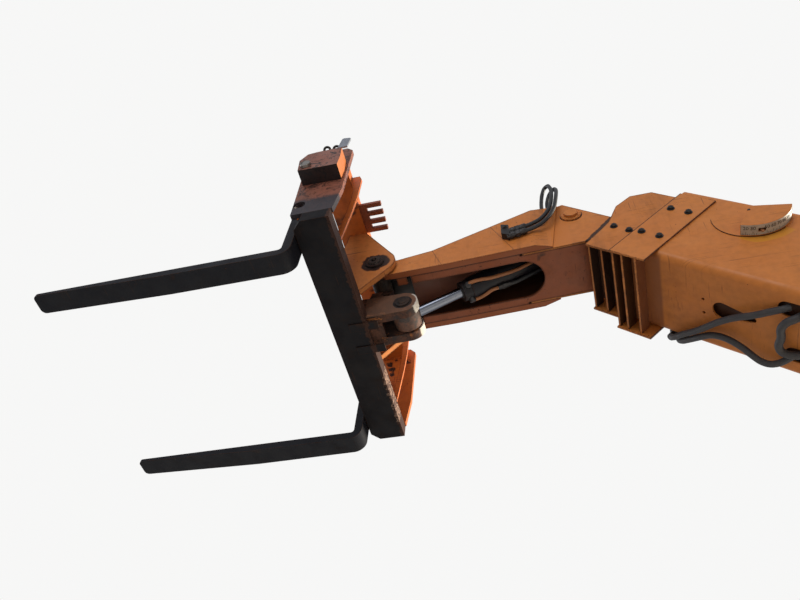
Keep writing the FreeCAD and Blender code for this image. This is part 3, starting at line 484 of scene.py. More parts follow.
@dataclass(frozen=True)
class Stain:
    """A bounded stretch of a finish that has another colour, measured in millimetres, used for real stains, for
    painted shade and for painted highlights.

    Attributes:
        colour: its colour.
        strength: how much of it covers the finish, from 0 to 1.
        axes: axes of its bounds.
        along: its ends along X.
        across: its ends along Y.
        apart: its ends in the distance from the middle plane, on both sides.
        rise: its ends along Z.
        ring: middle (x, z) of a round overlay.
        reach: its ends in the distance from that middle.
        facing: its ends in the height of the surface's normal.
        corner: middle height and greatest sum of the distances from it and from the middle plane.
        soft: width of its border.
        ragged: how far its border wanders.
        grain: how fine its border's wandering is.
    """

    colour: Colour
    strength: float = 1.0
    axes: Axes = LEVEL
    along: Ends = None
    across: Ends = None
    apart: Ends = None
    rise: Ends = None
    ring: Ends = None
    reach: Pair = (0.0, 0.0)
    facing: Ends = None
    corner: Ends = None
    soft: float = 0.5
    ragged: float = 0.0
    grain: float = 24.0

    def mask(self, g: Graph) -> Socket:
        """Product of one between each pair of ends and zero outside, with the places shifted by noise."""
        x, y, z = g.local(self.axes)
        if self.ragged:
            drift = g.times(g.less(g.noise(self.grain, 5, 0.65, 0.4), 0.5), 4.0 * self.ragged)
            x, y, z = g.plus(x, drift), g.less(y, drift), g.plus(z, drift)
        bounds = [(x, self.along, self.soft), (y, self.across, self.soft), (g.size(y), self.apart, self.soft),
                  (z, self.rise, self.soft)]
        if self.ring:
            dx, dz = g.less(x, self.ring[0]), g.less(z, self.ring[1])
            away = g.calc("SQRT", g.plus(g.times(dx, dx), g.times(dz, dz)))
            bounds.append((away, self.reach, self.soft))
        if self.facing:
            bounds.append((g.upward(), self.facing, 0.15))
        held = g.plus(self.strength, 0.0)
        for value, ends, soft in bounds:
            if ends:
                held = g.times(held, g.within(value, *ends, soft))
        if self.corner:
            middle, greatest = self.corner
            sum_away = g.plus(g.size(y), g.size(g.less(z, middle)))
            held = g.times(held, g.step(sum_away, greatest - 1.0, greatest, 1.0, 0.0))
        return held


ORANGE = (0.500, 0.160, 0.032)
SUNNED = (0.545, 0.188, 0.042)
BLACK = (0.008, 0.007, 0.008)
# SHADE: colour of painted shade inside hollows and on undersides
SHADE = (0.026, 0.011, 0.008)

# scratches: stretch, turn in degrees, distortion, least noise that shows, their patches' noise and its least
SCRATCHES = (((3.0, 5.0, 190.0), (8, 40, 21), 0.6, 0.64, (5.5, 3, 0.5, 0.0), 0.50),
             ((170.0, 6.0, 4.0), (-14, 22, -38), 0.5, 0.655, (4.3, 3, 0.5, 0.3), 0.53))
# cracks: noise scale, width, least noise of their patches
CRACKS = ((6.0, 0.022, 0.33), (15.0, 0.028, 0.41))


@dataclass(frozen=True)
class WornPaint:
    """Sprayed paint with sun fade, run marks, chips down to rust and scratches.

    Attributes:
        name: the material's name.
        colour: fresh paint.
        faded: paint in the sun-bleached patches.
        grime: colour of the dirt in corners and runs.
        chips: share of the surface that has lost its paint, from 0 to 1.
        dirt: strength of the grime, from 0 to 1.
        gloss: roughness of clean paint.
        edge: width of the worn edges, in metres.
        shine: the paint's specular level.
        cracks: strength of the dark cracks, from 0 to 1.
        overlays: bounded stretches of another colour: real stains, painted shade and painted highlights.
    """

    name: str
    colour: Colour = ORANGE
    faded: Colour = SUNNED
    grime: Colour = (0.035, 0.020, 0.012)
    chips: float = 0.35
    dirt: float = 0.35
    gloss: float = 0.42
    edge: float = 0.006
    shine: float = 0.22
    cracks: float = 0.0
    stains: tuple[Stain, ...] = ()

    def worn(self, g: Graph) -> tuple[Socket, Socket]:
        """Where the paint is thin and where it is gone: worn edges plus noise past a bar, and small spots."""
        edge = g.step(g.edges(self.edge), 0.015, 0.16)
        coarse, fine = g.noise(16, 6, 0.68, 0.3), g.noise(85, 4, 0.6)
        cloud = g.plus(g.times(coarse, 0.62), g.times(fine, 0.38))
        wear = g.plus(g.times(edge, 0.11 + 0.22 * self.chips), cloud)
        bar, spot = 0.735 - 0.115 * self.chips, 0.775 - 0.07 * self.chips
        patches = g.step(g.noise(6.5, 3, 0.5), 0.44, 0.58)
        spots = g.times(g.step(g.noise(62, 2, 0.5, 0.2), spot, spot + 0.015), patches)
        return g.step(wear, bar - 0.035, bar), g.most(g.step(wear, bar, bar + 0.012), spots)

    def scratched(self, g: Graph) -> Socket:
        """Fine scratches: noise drawn out along turned axes, each set kept to its own patches."""
        sets = []
        for stretch, turn, distort, bar, patches, least in SCRATCHES:
            line = g.noise(1.0, 2, 0.5, distort, g.mapped(stretch, turn))
            sets.append(g.times(g.step(line, bar, bar + 0.025), g.step(g.noise(*patches), least, least + 0.1)))
        return g.times(g.most(*sets), min(1.0, 0.3 + 1.4 * self.chips))

    def build(self) -> Material:
        """Gives the material: fade, haze and runs, and over them chips, scratches, cracks and the overlays of
        real stains, painted shade and painted highlights.
        """
        g = Graph(self.name)
        base = g.mix(g.step(g.noise(2.2, 5, 0.6, 0.4), 0.35, 0.72), self.colour, self.faded)
        base = g.mix(g.step(g.noise(34, 3, 0.5), 0.3, 0.8, 0.0, 0.16), base, self.grime)
        runs = g.noise(7.0, 5, 0.62, 0.2, g.mapped((1.0, 1.0, 0.16), (0, -6, 12)))
        runs = g.step(runs, 0.50, 0.78, 0.0, self.dirt)
        base = g.mix(runs, base, self.grime)
        thin, bare = self.worn(g)
        base = g.mix(g.times(thin, 0.5), base, (0.14, 0.040, 0.012))
        base = g.mix(bare, base, g.mix(g.noise(120, 3, 0.6), (0.012, 0.008, 0.007), (0.060, 0.024, 0.012)))
        scratch = self.scratched(g)
        base = g.mix(g.times(scratch, 0.8), base, (0.030, 0.014, 0.009))
        for scale, width, least in CRACKS if self.cracks else ():
            crack = g.times(g.step(g.veins(scale, 4, 0.55, 1.6), 0.0, width, self.cracks, 0.0),
                            g.step(g.noise(9, 2, 0.5), least, least + 0.1))
            base = g.mix(crack, base, (0.010, 0.006, 0.006))
        rough = g.step(g.noise(11, 4, 0.6), 0.3, 0.75, self.gloss - 0.06, self.gloss + 0.14)
        rough = g.plus(rough, g.times(g.most(bare, runs), 0.35), clamp=True)
        height = g.plus(g.times(bare, -1.0), g.times(g.noise(260, 2, 0.5), 0.12))
        height = g.less(height, g.times(scratch, 0.5))
        return g.finish((height, 0.35, 0.0006), Base_Color=g.stained(base, self.stains), Roughness=rough,
                        Specular_IOR_Level=self.shine)


@dataclass(frozen=True)
class RustySteel:
    """Bare plate that has rusted over, with remains of its paint.

    Attributes:
        name: the material's name.
        dark: deep rust.
        light: fresh rust.
        left: share of the paint that is left, from 0 to 1.
        paint: what is left of the paint.
        overlays: bounded stretches of another colour: real stains and a painted highlight.
    """

    name: str
    dark: Colour
    light: Colour
    left: float
    paint: Colour = (0.34, 0.12, 0.035)
    stains: tuple[Stain, ...] = ()

    def build(self) -> Material:
        """Gives the material: two tones of rust, dark pits, flakes of paint and veins."""
        g = Graph(self.name)
        cloud = g.noise(13, 7, 0.66, 0.5)
        base = g.mix(g.step(cloud, 0.36, 0.66), self.dark, self.light)
        base = g.mix(g.step(g.noise(90, 4, 0.6), 0.45, 0.75, 0.0, 0.5), base, (0.03, 0.015, 0.010))
        keep = g.less(g.noise(9, 6, 0.7, 0.8), g.times(g.step(g.edges(0.008), 0.02, 0.2), 0.2))
        bar = 0.62 - 0.2 * self.left
        flake = g.step(keep, bar, bar + 0.03)
        base = g.mix(flake, base, self.paint)
        base = g.mix(g.step(g.veins(3.2, 5, 0.6, 1.4), 0.0, 0.016, 0.75, 0.0), base, (0.015, 0.009, 0.007))
        height = g.plus(g.times(flake, 0.8), g.times(g.noise(210, 3, 0.6), 0.7))
        return g.finish((height, 0.5, 0.0008), Base_Color=g.stained(base, self.stains),
                        Roughness=g.step(cloud, 0.3, 0.7, 0.62, 0.88), Specular_IOR_Level=0.25)


@dataclass(frozen=True)
class Metal:
    """Steel with a drawn or turned grain and smears.

    Attributes:
        name: the material's name.
        colour: the metal.
        rough: roughness of the clean metal.
        dirt: share of the smears, from 0 to 1.
        smear: grease or tarnish over it.
        grain: scale of the grain along each axis.
        metallic: how much of it is bare metal.
        overlays: bounded stretches of rust or grease, dull and not metallic.
    """

    name: str
    colour: Colour
    rough: float
    dirt: float
    smear: Colour = (0.02, 0.016, 0.013)
    grain: Point = (40.0, 400.0, 40.0)
    metallic: float = 1.0
    stains: tuple[Stain, ...] = ()

    def build(self) -> Material:
        """Gives the material: grain, smears over it and stains over both."""
        g = Graph(self.name)
        bar = 0.70 - 0.25 * self.dirt
        smear = g.step(g.noise(24, 6, 0.62, 0.6), bar, bar + 0.14, 0.0, 0.9)
        grain = g.noise(1.0, 3, 0.6, 0.0, g.mapped(self.grain, (0.0, 0.0, 0.0)))
        base = g.mix(g.step(grain, 0.3, 0.7, 0.0, 0.22), self.colour, self.smear)
        base = g.mix(smear, base, self.smear)
        rough = g.step(grain, 0.3, 0.7, self.rough - 0.05, self.rough + 0.06)
        rough = g.plus(rough, g.times(smear, 0.4), clamp=True)
        metal = g.step(smear, 0.0, 1.0, self.metallic, self.metallic * 0.25)
        for overlay in self.stains:
            mask = overlay.mask(g)
            tone = g.mix(g.step(g.noise(30, 5, 0.65, 0.5), 0.38, 0.62), overlay.colour, (0.022, 0.012, 0.009))
            base = g.mix(mask, base, tone)
            metal = g.times(metal, g.less(1.0, mask, clamp=True))
            rough = g.most(rough, g.times(mask, 0.7))
        return g.finish((grain, 0.12, 0.0002), Base_Color=base, Roughness=rough, Metallic=metal)


@dataclass(frozen=True)
class Moulded:
    """Rubber or plastic with dust, scuffs and a fine mould texture.

    Attributes:
        name: the material's name.
        colour: the clean material.
        dust: what lies on it.
        rough: roughness of the clean material.
        dusty: how much dust lies on it, from 0 to 1.
    """

    name: str
    colour: Colour
    dust: Colour
    rough: float
    dusty: float

    def build(self) -> Material:
        """Gives the material: broad and fine dust over the colour."""
        g = Graph(self.name)
        cloud = g.noise(19, 6, 0.65, 0.4)
        base = g.mix(g.step(cloud, 0.42, 0.72, 0.0, self.dusty), self.colour, self.dust)
        base = g.mix(g.step(g.noise(150, 3, 0.6), 0.55, 0.75, 0.0, self.dusty * 0.6), base, self.dust)
        rough = g.step(cloud, 0.3, 0.7, self.rough - 0.08, self.rough + 0.12)
        weave = g.plus(g.noise(420, 2, 0.5), g.times(cloud, 0.5))
        return g.finish((weave, 0.25, 0.0004), Base_Color=base, Roughness=rough, Specular_IOR_Level=0.35)


# ------------------------------------------------------------------------------- stains, painted shade and painted highlights of single places

# painted shade inside, under and between the boom's sections, and dark seams of the base collar
# painted shade on the inner faces of each section
BASE_INSIDE_SHADE, MID_INSIDE_SHADE, INNER_INSIDE_SHADE = (
    Stain(SHADE, 0.93, BOOM, apart=(-1.0, half), rise=(low, high), corner=((low + high) / 2, corner), soft=1.0)
    for half, low, high, corner in ((198.5, -96.5, 398.5, 436.0), (168.0, -70.5, 283.5, 336.0),
                                    (137.5, -44.5, 168.5, 237.5)))
UNDER_BASE, UNDER_MID = (-166.0, 460.0), (-133.0, 460.0)
# painted shade: dark in the base collar's bays between its ribs, dim orange-brown on its last rib, black in the
# middle collar's bays
BAY_SHADE = Stain(SHADE, 0.90, BOOM, along=(4185.8, 4299.0), apart=(-1.0, 206.0), rise=UNDER_BASE, ragged=1.0)
LAST_RIB_SHADE = Stain((0.110, 0.036, 0.018), 0.85, BOOM, along=(4100.0, 4184.0), apart=(-1.0, 206.0), rise=UNDER_BASE)
MID_BAY_SHADE = Stain(BLACK, 0.95, BOOM, along=(4296.0, 4600.0), apart=(-1.0, 176.0), rise=UNDER_MID)
# painted shade along the undersides of the middle and base sections
MID_UNDERSIDE_SHADE = Stain(SHADE, 0.94, BOOM, along=(0.0, 4600.0), rise=(-80.0, -76.0))
BASE_UNDERSIDE_SHADE = Stain((0.150, 0.050, 0.022), 0.70, BOOM, along=(4112.0, 4300.0), apart=(-1.0, 206.0),
                   rise=(-108.0, -103.0), soft=18.0)
MOUTH_SEAM = Stain(BLACK, 0.92, MOUTH, along=(-3.4, 1.0), apart=(214.0, 217.0))
REAR_SEAM = Stain((0.060, 0.022, 0.012), 0.85, MOUTH, along=(-177.0, -172.0), apart=(206.0, 217.0))
# round the dial
DIAL_PATCH = Stain((0.52, 0.215, 0.020), 0.75, BOOM, ring=DIAL, reach=(0.0, 197.0), rise=(130.0, 276.0),
                   along=(3722.0, 3880.0), soft=4.0)
DIAL_RIM = Stain(BLACK, 0.85, BOOM, ring=DIAL, reach=(158.0, 163.0), rise=(120.0, 276.0), ragged=0.6)
# on the head and the cylinder
# painted shade: black on the cheeks' inner faces inside the head
SLIT_SHADE = Stain(BLACK, 0.9, apart=(-1.0, 147.5), soft=1.0)
PIN_GREASE = Stain(BLACK, 0.95, ring=CYLINDER_PIN, reach=(48.0, 53.0), soft=3.0, ragged=2.0)
NOSE_GREASE = Stain(BLACK, 0.96, ring=(0.0, 0.0), reach=(-1.0, 66.0), soft=10.0, ragged=13.0)
# painted shadow in the gap between the nose's pivot plates and the cheeks
NOSE_GAP_SHADE = Stain(BLACK, 0.92, NOSE, along=(-16.0, 5.0), apart=(140.0, 190.0), rise=(-130.0, 165.0), soft=3.0,
                 ragged=6.0, grain=26.0)
# painted shade: darker on the cheeks' and the roof's downward faces, black on the floor's upward faces inside
# the head
CHEEK_UNDERSIDE_SHADE = Stain((0.235, 0.064, 0.023), 0.92, facing=(-2.0, -0.75))
ROOF_UNDERSIDE_SHADE = Stain((0.105, 0.034, 0.022), 0.95, facing=(-2.0, 0.1))
FLOOR_TOP_SHADE = Stain(BLACK, 0.95, facing=(0.3, 2.0))
CLEAN_END = Stain(ORANGE, 1.0, along=(-930.0, -832.0), apart=(139.0, 200.0), facing=(-0.7, 0.7), soft=6.0)
EYE_RUST = Stain((0.125, 0.052, 0.028), 1.0, ring=ROD_EYE, reach=(-1.0, 67.0), soft=2.0, ragged=1.5)
# on the carriage
EAR_GREASE = Stain(BLACK, 0.95, ring=ROD_EYE, reach=(34.0, 45.0), soft=3.0, ragged=3.0)
# painted highlight on the rear ends of the rod's ears, pale like worn bare steel
EAR_END_HIGHLIGHT = Stain((0.62, 0.57, 0.50), 0.93, ring=ROD_EYE, reach=(70.5, 73.5), along=(-196.0, -158.0),
                rise=(-232.0, -140.0), soft=7.0, ragged=6.0)
EAR_TOP = Stain((0.190, 0.095, 0.056), 0.55, apart=(88.0, 92.0), along=(-200.0, 60.0), soft=1.0, ragged=1.0)
BAR_RUST = Stain((0.060, 0.027, 0.018), 0.70, along=(40.0, 60.0), soft=5.0, ragged=12.0, grain=50.0)
# painted highlight on the rear face of the bottom bar, over its right part
BAR_REAR_HIGHLIGHT = Stain((0.330, 0.210, 0.155), 0.75, along=(44.0, 50.0), across=(-560.0, -240.0), rise=(-320.0, -236.0),
                 soft=4.0, ragged=30.0, grain=46.0)
PLATE_FOOT = Stain((0.026, 0.024, 0.030), 0.93, rise=(-400.0, -128.0), soft=40.0, ragged=14.0)
BLOCK_END = Stain((0.42, 0.125, 0.028), 0.9, along=(30.0, 43.0), across=(660.0, 740.0), ragged=1.5)
# painted shade on the keeper block's downward faces
BLOCK_UNDERSIDE_SHADE = Stain(BLACK, 0.93, facing=(-2.0, -0.5))
# chips on the right end plate: (x, z) of each and its radius
PLATE_CHIPS = tuple(Stain(BLACK, 0.95, across=(-660.0, -636.0), ring=(x, z), reach=(-1.0, size), soft=3.0,
                          ragged=size * 0.9, grain=45.0)
                    for x, z, size in ((172.0, 262.0, 17.0), (158.0, 215.0, 20.0), (152.0, 172.0, 15.0),
                                       (135.0, 289.0, 8.0), (92.0, 300.0, 15.0), (62.0, 262.0, 17.0)))

FINISHES = {finish.name: finish for finish in (
    WornPaint("boom_paint", chips=0.14, dirt=0.22, stains=(BASE_INSIDE_SHADE, BASE_UNDERSIDE_SHADE, DIAL_PATCH)),
    WornPaint("collar_paint", chips=0.46, dirt=0.32, edge=0.010, stains=(LAST_RIB_SHADE, BAY_SHADE, MOUTH_SEAM, REAR_SEAM)),
    WornPaint("dial_paint", chips=0.14, dirt=0.3, stains=(DIAL_RIM,)),
    WornPaint("mid_collar_paint", chips=0.62, dirt=0.36, edge=0.011, stains=(MID_BAY_SHADE,)),
    WornPaint("mid_paint", chips=0.4, dirt=0.5, stains=(MID_INSIDE_SHADE, MID_UNDERSIDE_SHADE)),
    WornPaint("inner_paint", chips=0.80, dirt=0.40, edge=0.012,
              stains=(CLEAN_END, INNER_INSIDE_SHADE, PIN_GREASE, NOSE_GAP_SHADE)),
    WornPaint("head_paint", chips=0.46, dirt=0.34),
    WornPaint("cheek_paint", chips=0.74, dirt=0.36, edge=0.013,
              stains=(CLEAN_END, CHEEK_UNDERSIDE_SHADE, SLIT_SHADE, NOSE_GREASE, NOSE_GAP_SHADE)),
    WornPaint("roof_paint", chips=0.3, dirt=0.5, stains=(ROOF_UNDERSIDE_SHADE,)),
    # a darker copy of the orange paint: painted shade over the whole head floor
    WornPaint("shaded_paint", (0.225, 0.060, 0.022), (0.250, 0.070, 0.026), chips=0.90, dirt=0.5, edge=0.014,
              stains=(FLOOR_TOP_SHADE,)),
    WornPaint("carriage_paint", (0.500, 0.115, 0.018), (0.56, 0.145, 0.026), chips=0.66, dirt=0.42,
              stains=PLATE_CHIPS),
    WornPaint("pivot_paint", (0.490, 0.160, 0.040), (0.54, 0.19, 0.05), chips=0.74, dirt=0.4, edge=0.012,
              stains=(NOSE_GREASE,)),
    WornPaint("plate_paint", (0.230, 0.078, 0.048), (0.185, 0.070, 0.046), chips=0.8, dirt=0.6, cracks=1.0,
              stains=(PLATE_FOOT,)),
    WornPaint("keeper_rust", (0.235, 0.090, 0.062), (0.190, 0.072, 0.050), chips=0.8, dirt=0.6, cracks=1.0,
              stains=(BLOCK_END, BLOCK_UNDERSIDE_SHADE)),
    WornPaint("pipe_paint", (0.36, 0.14, 0.055), (0.30, 0.12, 0.055), chips=0.35, dirt=0.6, gloss=0.4),
    # a darker copy of the carriage paint with more grime: painted shade for the comb's underside, plus real dirt
    WornPaint("comb_dirt_and_shade", (0.230, 0.062, 0.028), (0.26, 0.075, 0.034), chips=0.66, dirt=0.6),
    WornPaint("fork_paint", (0.0052, 0.0056, 0.0085), (0.009, 0.0095, 0.013), (0.020, 0.014, 0.011),
              chips=0.40, dirt=0.45, gloss=0.5, shine=0.12),
    WornPaint("bar_paint", (0.0050, 0.0048, 0.0065), (0.0095, 0.0085, 0.0095), (0.024, 0.014, 0.010),
              chips=0.5, dirt=0.55, gloss=0.58, shine=0.10, stains=(BAR_RUST, BAR_REAR_HIGHLIGHT)),
    WornPaint("barrel_paint", (0.006, 0.006, 0.009), (0.010, 0.010, 0.012), (0.030, 0.015, 0.010),
              chips=0.3, dirt=0.6, gloss=0.4, shine=0.15),
    RustySteel("ear_rust", (0.016, 0.010, 0.010), (0.140, 0.060, 0.036), 0.12,
               stains=(EAR_TOP, EAR_GREASE, EAR_END_HIGHLIGHT)),
    RustySteel("boss_rust", (0.012, 0.010, 0.010), (0.045, 0.026, 0.018), 0.05),
    Metal("pin_steel", (0.13, 0.12, 0.115), 0.45, 0.8),
    Metal("shaft_steel", (0.26, 0.24, 0.22), 0.40, 0.7),
    Metal("tab_steel", (0.20, 0.215, 0.25), 0.5, 0.3, metallic=0.2),
    Metal("ring_steel", (0.035, 0.032, 0.032), 0.45, 0.6),
    Metal("chrome", (0.13, 0.14, 0.17), 0.20, 0.22, grain=(8.0, 260.0, 8.0), stains=(EYE_RUST,)),
    Metal("bolt_steel", (0.024, 0.023, 0.024), 0.45, 0.5, metallic=0.7),
    Metal("fitting_steel", (0.030, 0.028, 0.029), 0.42, 0.6, metallic=0.7),
    Moulded("hose_cover", (0.010, 0.010, 0.012), (0.060, 0.055, 0.050), 0.5, 0.22),
    Moulded("grey_hose", (0.024, 0.022, 0.024), (0.085, 0.070, 0.060), 0.62, 0.36),
    Moulded("nylon", (0.62, 0.58, 0.47), (0.20, 0.15, 0.10), 0.5, 0.6),
    Moulded("scale_white", (0.46, 0.41, 0.33), (0.26, 0.20, 0.14), 0.5, 0.5),
    Moulded("scale_black", (0.012, 0.011, 0.012), (0.05, 0.04, 0.035), 0.5, 0.3),
    Moulded("grease", (0.010, 0.008, 0.008), (0.025, 0.018, 0.015), 0.35, 0.4),
)}

DRESS = {node: finish for finish, nodes in (
    ("boom_paint", "base_section rear_cheeks"),
    ("collar_paint", "base_collar"),
    ("head_paint", "rear_pivot lift_lugs levelling_lugs cylinder_pin"),
    ("dial_paint", "dial_back dial_cover"),
    ("pipe_paint", "dial_pointer"),
    ("grey_hose", "boom_hoses"),
    ("fitting_steel", "hose_ports hose_couplings"),
    ("nylon", "base_pads mid_pads"),
    ("mid_paint", "mid_section"),
    ("mid_collar_paint", "mid_collar"),
    ("inner_paint", "inner_section"),
    ("cheek_paint", "head_left_side head_right_side"),
    ("shaded_paint", "head_floor"),
    ("roof_paint", "head_roof"),
    ("boss_rust", "nose_bush rod_pin_ends"),
    ("hose_cover", "hose_loop"),
    ("barrel_paint", "tilt_barrel"),
    ("chrome", "tilt_rod"),
    ("pin_steel", "eye_pin pivot_pin"),
    ("bar_paint", "bottom_bar"),
    ("carriage_paint", "upper_beam right_end_plate rear_straps hitch_web"),
    ("plate_paint", "left_end_plate"),
    ("keeper_rust", "shaft_keeper"),
    ("shaft_steel", "fork_shaft"),
    ("pivot_paint", "left_pivot_plate right_pivot_plate"),
    ("ear_rust", "ear_web rod_ears"),
    ("comb_dirt_and_shade", "comb_bracket"),
    ("ring_steel", "keeper_rings"),
    ("tab_steel", "top_tab"),
    ("fork_paint", "left_fork right_fork"),
) for node in nodes.split()}


class Finisher:
    """Builds each finish once and dresses the CAD nodes with them."""

    def __init__(self) -> None:
        """Builds every finish."""
        self.made = {name: finish.build() for name, finish in FINISHES.items()}

    def __getitem__(self, name: str) -> Material:
        """Gives a finish by its name."""
        return self.made[name]

    def dress(self, nodes: dict[str, Object]) -> None:
        """Puts each node's finish on its own material slots.

        Args:
            nodes: the CAD nodes by name.
        """
        for name, node in nodes.items():
            if not node.material_slots:
                node.data.materials.append(None)
            for held in node.material_slots:
                held.material = self[DRESS[name]]
            LOG.info("node %s: %s", name, DRESS[name])


# ---------------------------------------------------------------------------------------- sub-assemblies


@dataclass(frozen=True)
class Bolt:
    """A hexagon bolt on a round washer.

    Attributes:
        corner: half the width across the head's corners, in millimetres.
        head: height of the head below its chamfer.
        washer: radius of the washer.
        thick: thickness of the washer.
        chamfer: height of the head's chamfer.
    """

    corner: float = 13.5
    head: float = 10.0
    washer: float = 17.5
    thick: float = 3.2
    chamfer: float = 2.2

    def grids(self, centre: Point, axis: Point) -> list[np.ndarray]:
        """Washer, chamfered hexagon and the shank's crown, each a shape of revolution about the axis."""
        w, c, h, top = self.washer, self.corner, self.head, self.head + self.chamfer
        disc = drum(w, 0, self.thick - 0.8, self.thick, w - 0.9)
        hexagon = drum(c, self.thick, h, top, c * 0.86)
        crown = [(0, top), (c * 0.5, top), (c * 0.42, h + 4), (0, h + 4.4)]
        return [turned(p, centre, axis, sides) for p, sides in ((disc, 28), (hexagon, 6), (crown, 16))]


@dataclass(frozen=True)
class Dial:
    """Angle scale on the base section's left side: white band on the curved rim, ticks, numbers and a screw.

    Attributes:
        centre: its middle, along the boom and above the pivot's line, in millimetres.
        rim: radius of the rim.
        near: the band's edge beside the boom.
        far: the band's outer edge.
        span: angles of the band's ends, in degrees from the boom's line.
        window: angles of the pointer's window in the band.
        pointer: angle of the pointer.
        numbers: what is written, each at its own angle back from 270 degrees.
        screw: middle of the screw that holds the cover.
    """

    centre: Pair = DIAL
    rim: float = 154.0
    near: float = 213.0
    far: float = 260.0
    span: Pair = (152.6, 257.4)
    window: Pair = (221.4, 232.6)
    pointer: float = 227.0
    numbers: tuple[int, ...] = (20, 30, 50, 60, 70, 80, 90, 100, 110)
    screw: Pair = (3912.0, 267.0)

    def band(self, angles: Pair, edges: Pair, lift: float, thick: float, steps: int) -> np.ndarray:
        """A strip of the rim between two angles and two distances across the boom.

        A point is the dial's centre plus the radius times the cosine and the sine of its angle.

        Args:
            angles: its ends, in degrees.
            edges: its edges across the boom, in millimetres.
            lift: its underside above the rim.
            thick: its thickness.
            steps: points along it.

        Returns:
            A (steps + 2, 4, 3) grid.
        """
        angle = np.radians(np.linspace(*angles, steps))
        inner, outer = self.rim + lift, self.rim + lift + thick
        low, high = edges
        grid = np.stack([np.stack([self.centre[0] + radius * np.cos(angle), np.full(steps, y),
                                   self.centre[1] + radius * np.sin(angle)], -1)
                         for radius, y in ((inner, low), (outer, low), (outer, high), (inner, high))], 1)
        return capped(grid, grid[0].mean(0), grid[-1].mean(0))

    def build(self, finish: Finisher) -> None:
        """Makes the screw, the band round its window, the ticks and the numbers."""
        near, far, (start, end), (left, right) = self.near, self.far, self.span, self.window
        along, rise = self.screw
        screw = [(0, -2), (6, -2), (6, 2), (4, 3), (0, 3)]
        Piece("dial_screw", BOOM, [turned(screw, (along, far, rise), (0, 1, 0), 16)]).make(
            "base_boom", Slot.FITTING, finish["fitting_steel"])
        strips = (((start, left), (near, far)), ((right, end), (near, far)),
                  ((left, right), (near, near + 15.0)), ((left, right), (far - 16.0, far)))
        white = [self.band(angles, edges, 0.1, 0.9, max(int(angles[1] - angles[0]) // 2, 3))
                 for angles, edges in strips]
        Piece("dial_band", BOOM, white).make("base_boom", Slot.PAINT, finish["scale_white"])
        ticks, half = Piece("dial_ticks", BOOM), 0.28
        for i in range(41):
            at = 255.0 - i * 2.5
            length = 15.0 if i % 4 == 2 else 8.5
            if abs(at - self.pointer) > 6:
                ticks.add(self.band((at - half, at + half), (near, near + length), 1.0, 0.25, 2))
        ticks.make("base_boom", Slot.POINTER, finish["scale_black"])
        for number in self.numbers:
            self.write(number, (near + far) / 2 + 8, finish["scale_black"])

    def write(self, number: int, y: float, material: Material) -> None:
        """One number on the rim: flat text made a mesh, facing out from the dial's centre.

        A point is the number's middle plus the text's own X along the rim, Y across the boom and Z outward.

        Args:
            number: the number.
            y: its middle across the boom, in millimetres.
            material: its finish.
        """
        curve = bpy.data.curves.new("helper", "FONT")
        curve.body, curve.size, curve.extrude = str(number), 0.0215, 0.0003
        curve.align_x = curve.align_y = "CENTER"
        helper = link("helper", curve)
        bpy.context.view_layer.update()
        mesh = bpy.data.meshes.new_from_object(helper.evaluated_get(bpy.context.evaluated_depsgraph_get()))
        bpy.data.objects.remove(helper)
        text = np.empty(len(mesh.vertices) * 3)
        mesh.vertices.foreach_get("co", text)
        angle = math.radians(270 - number)
        out = np.array([math.cos(angle), 0, math.sin(angle)])
        turn = np.array([(out[2], 0, -out[0]), (0, 1, 0), out])
        middle = np.array([self.centre[0], y, self.centre[1]]) + out * (self.rim + 1.15)
        mesh.vertices.foreach_set("co", BOOM.place(middle + text.reshape(-1, 3) * 1000 @ turn).ravel())
        mesh.update()
        mesh.name = "dial_number_%d" % number
        mount(mesh, "base_boom", material)


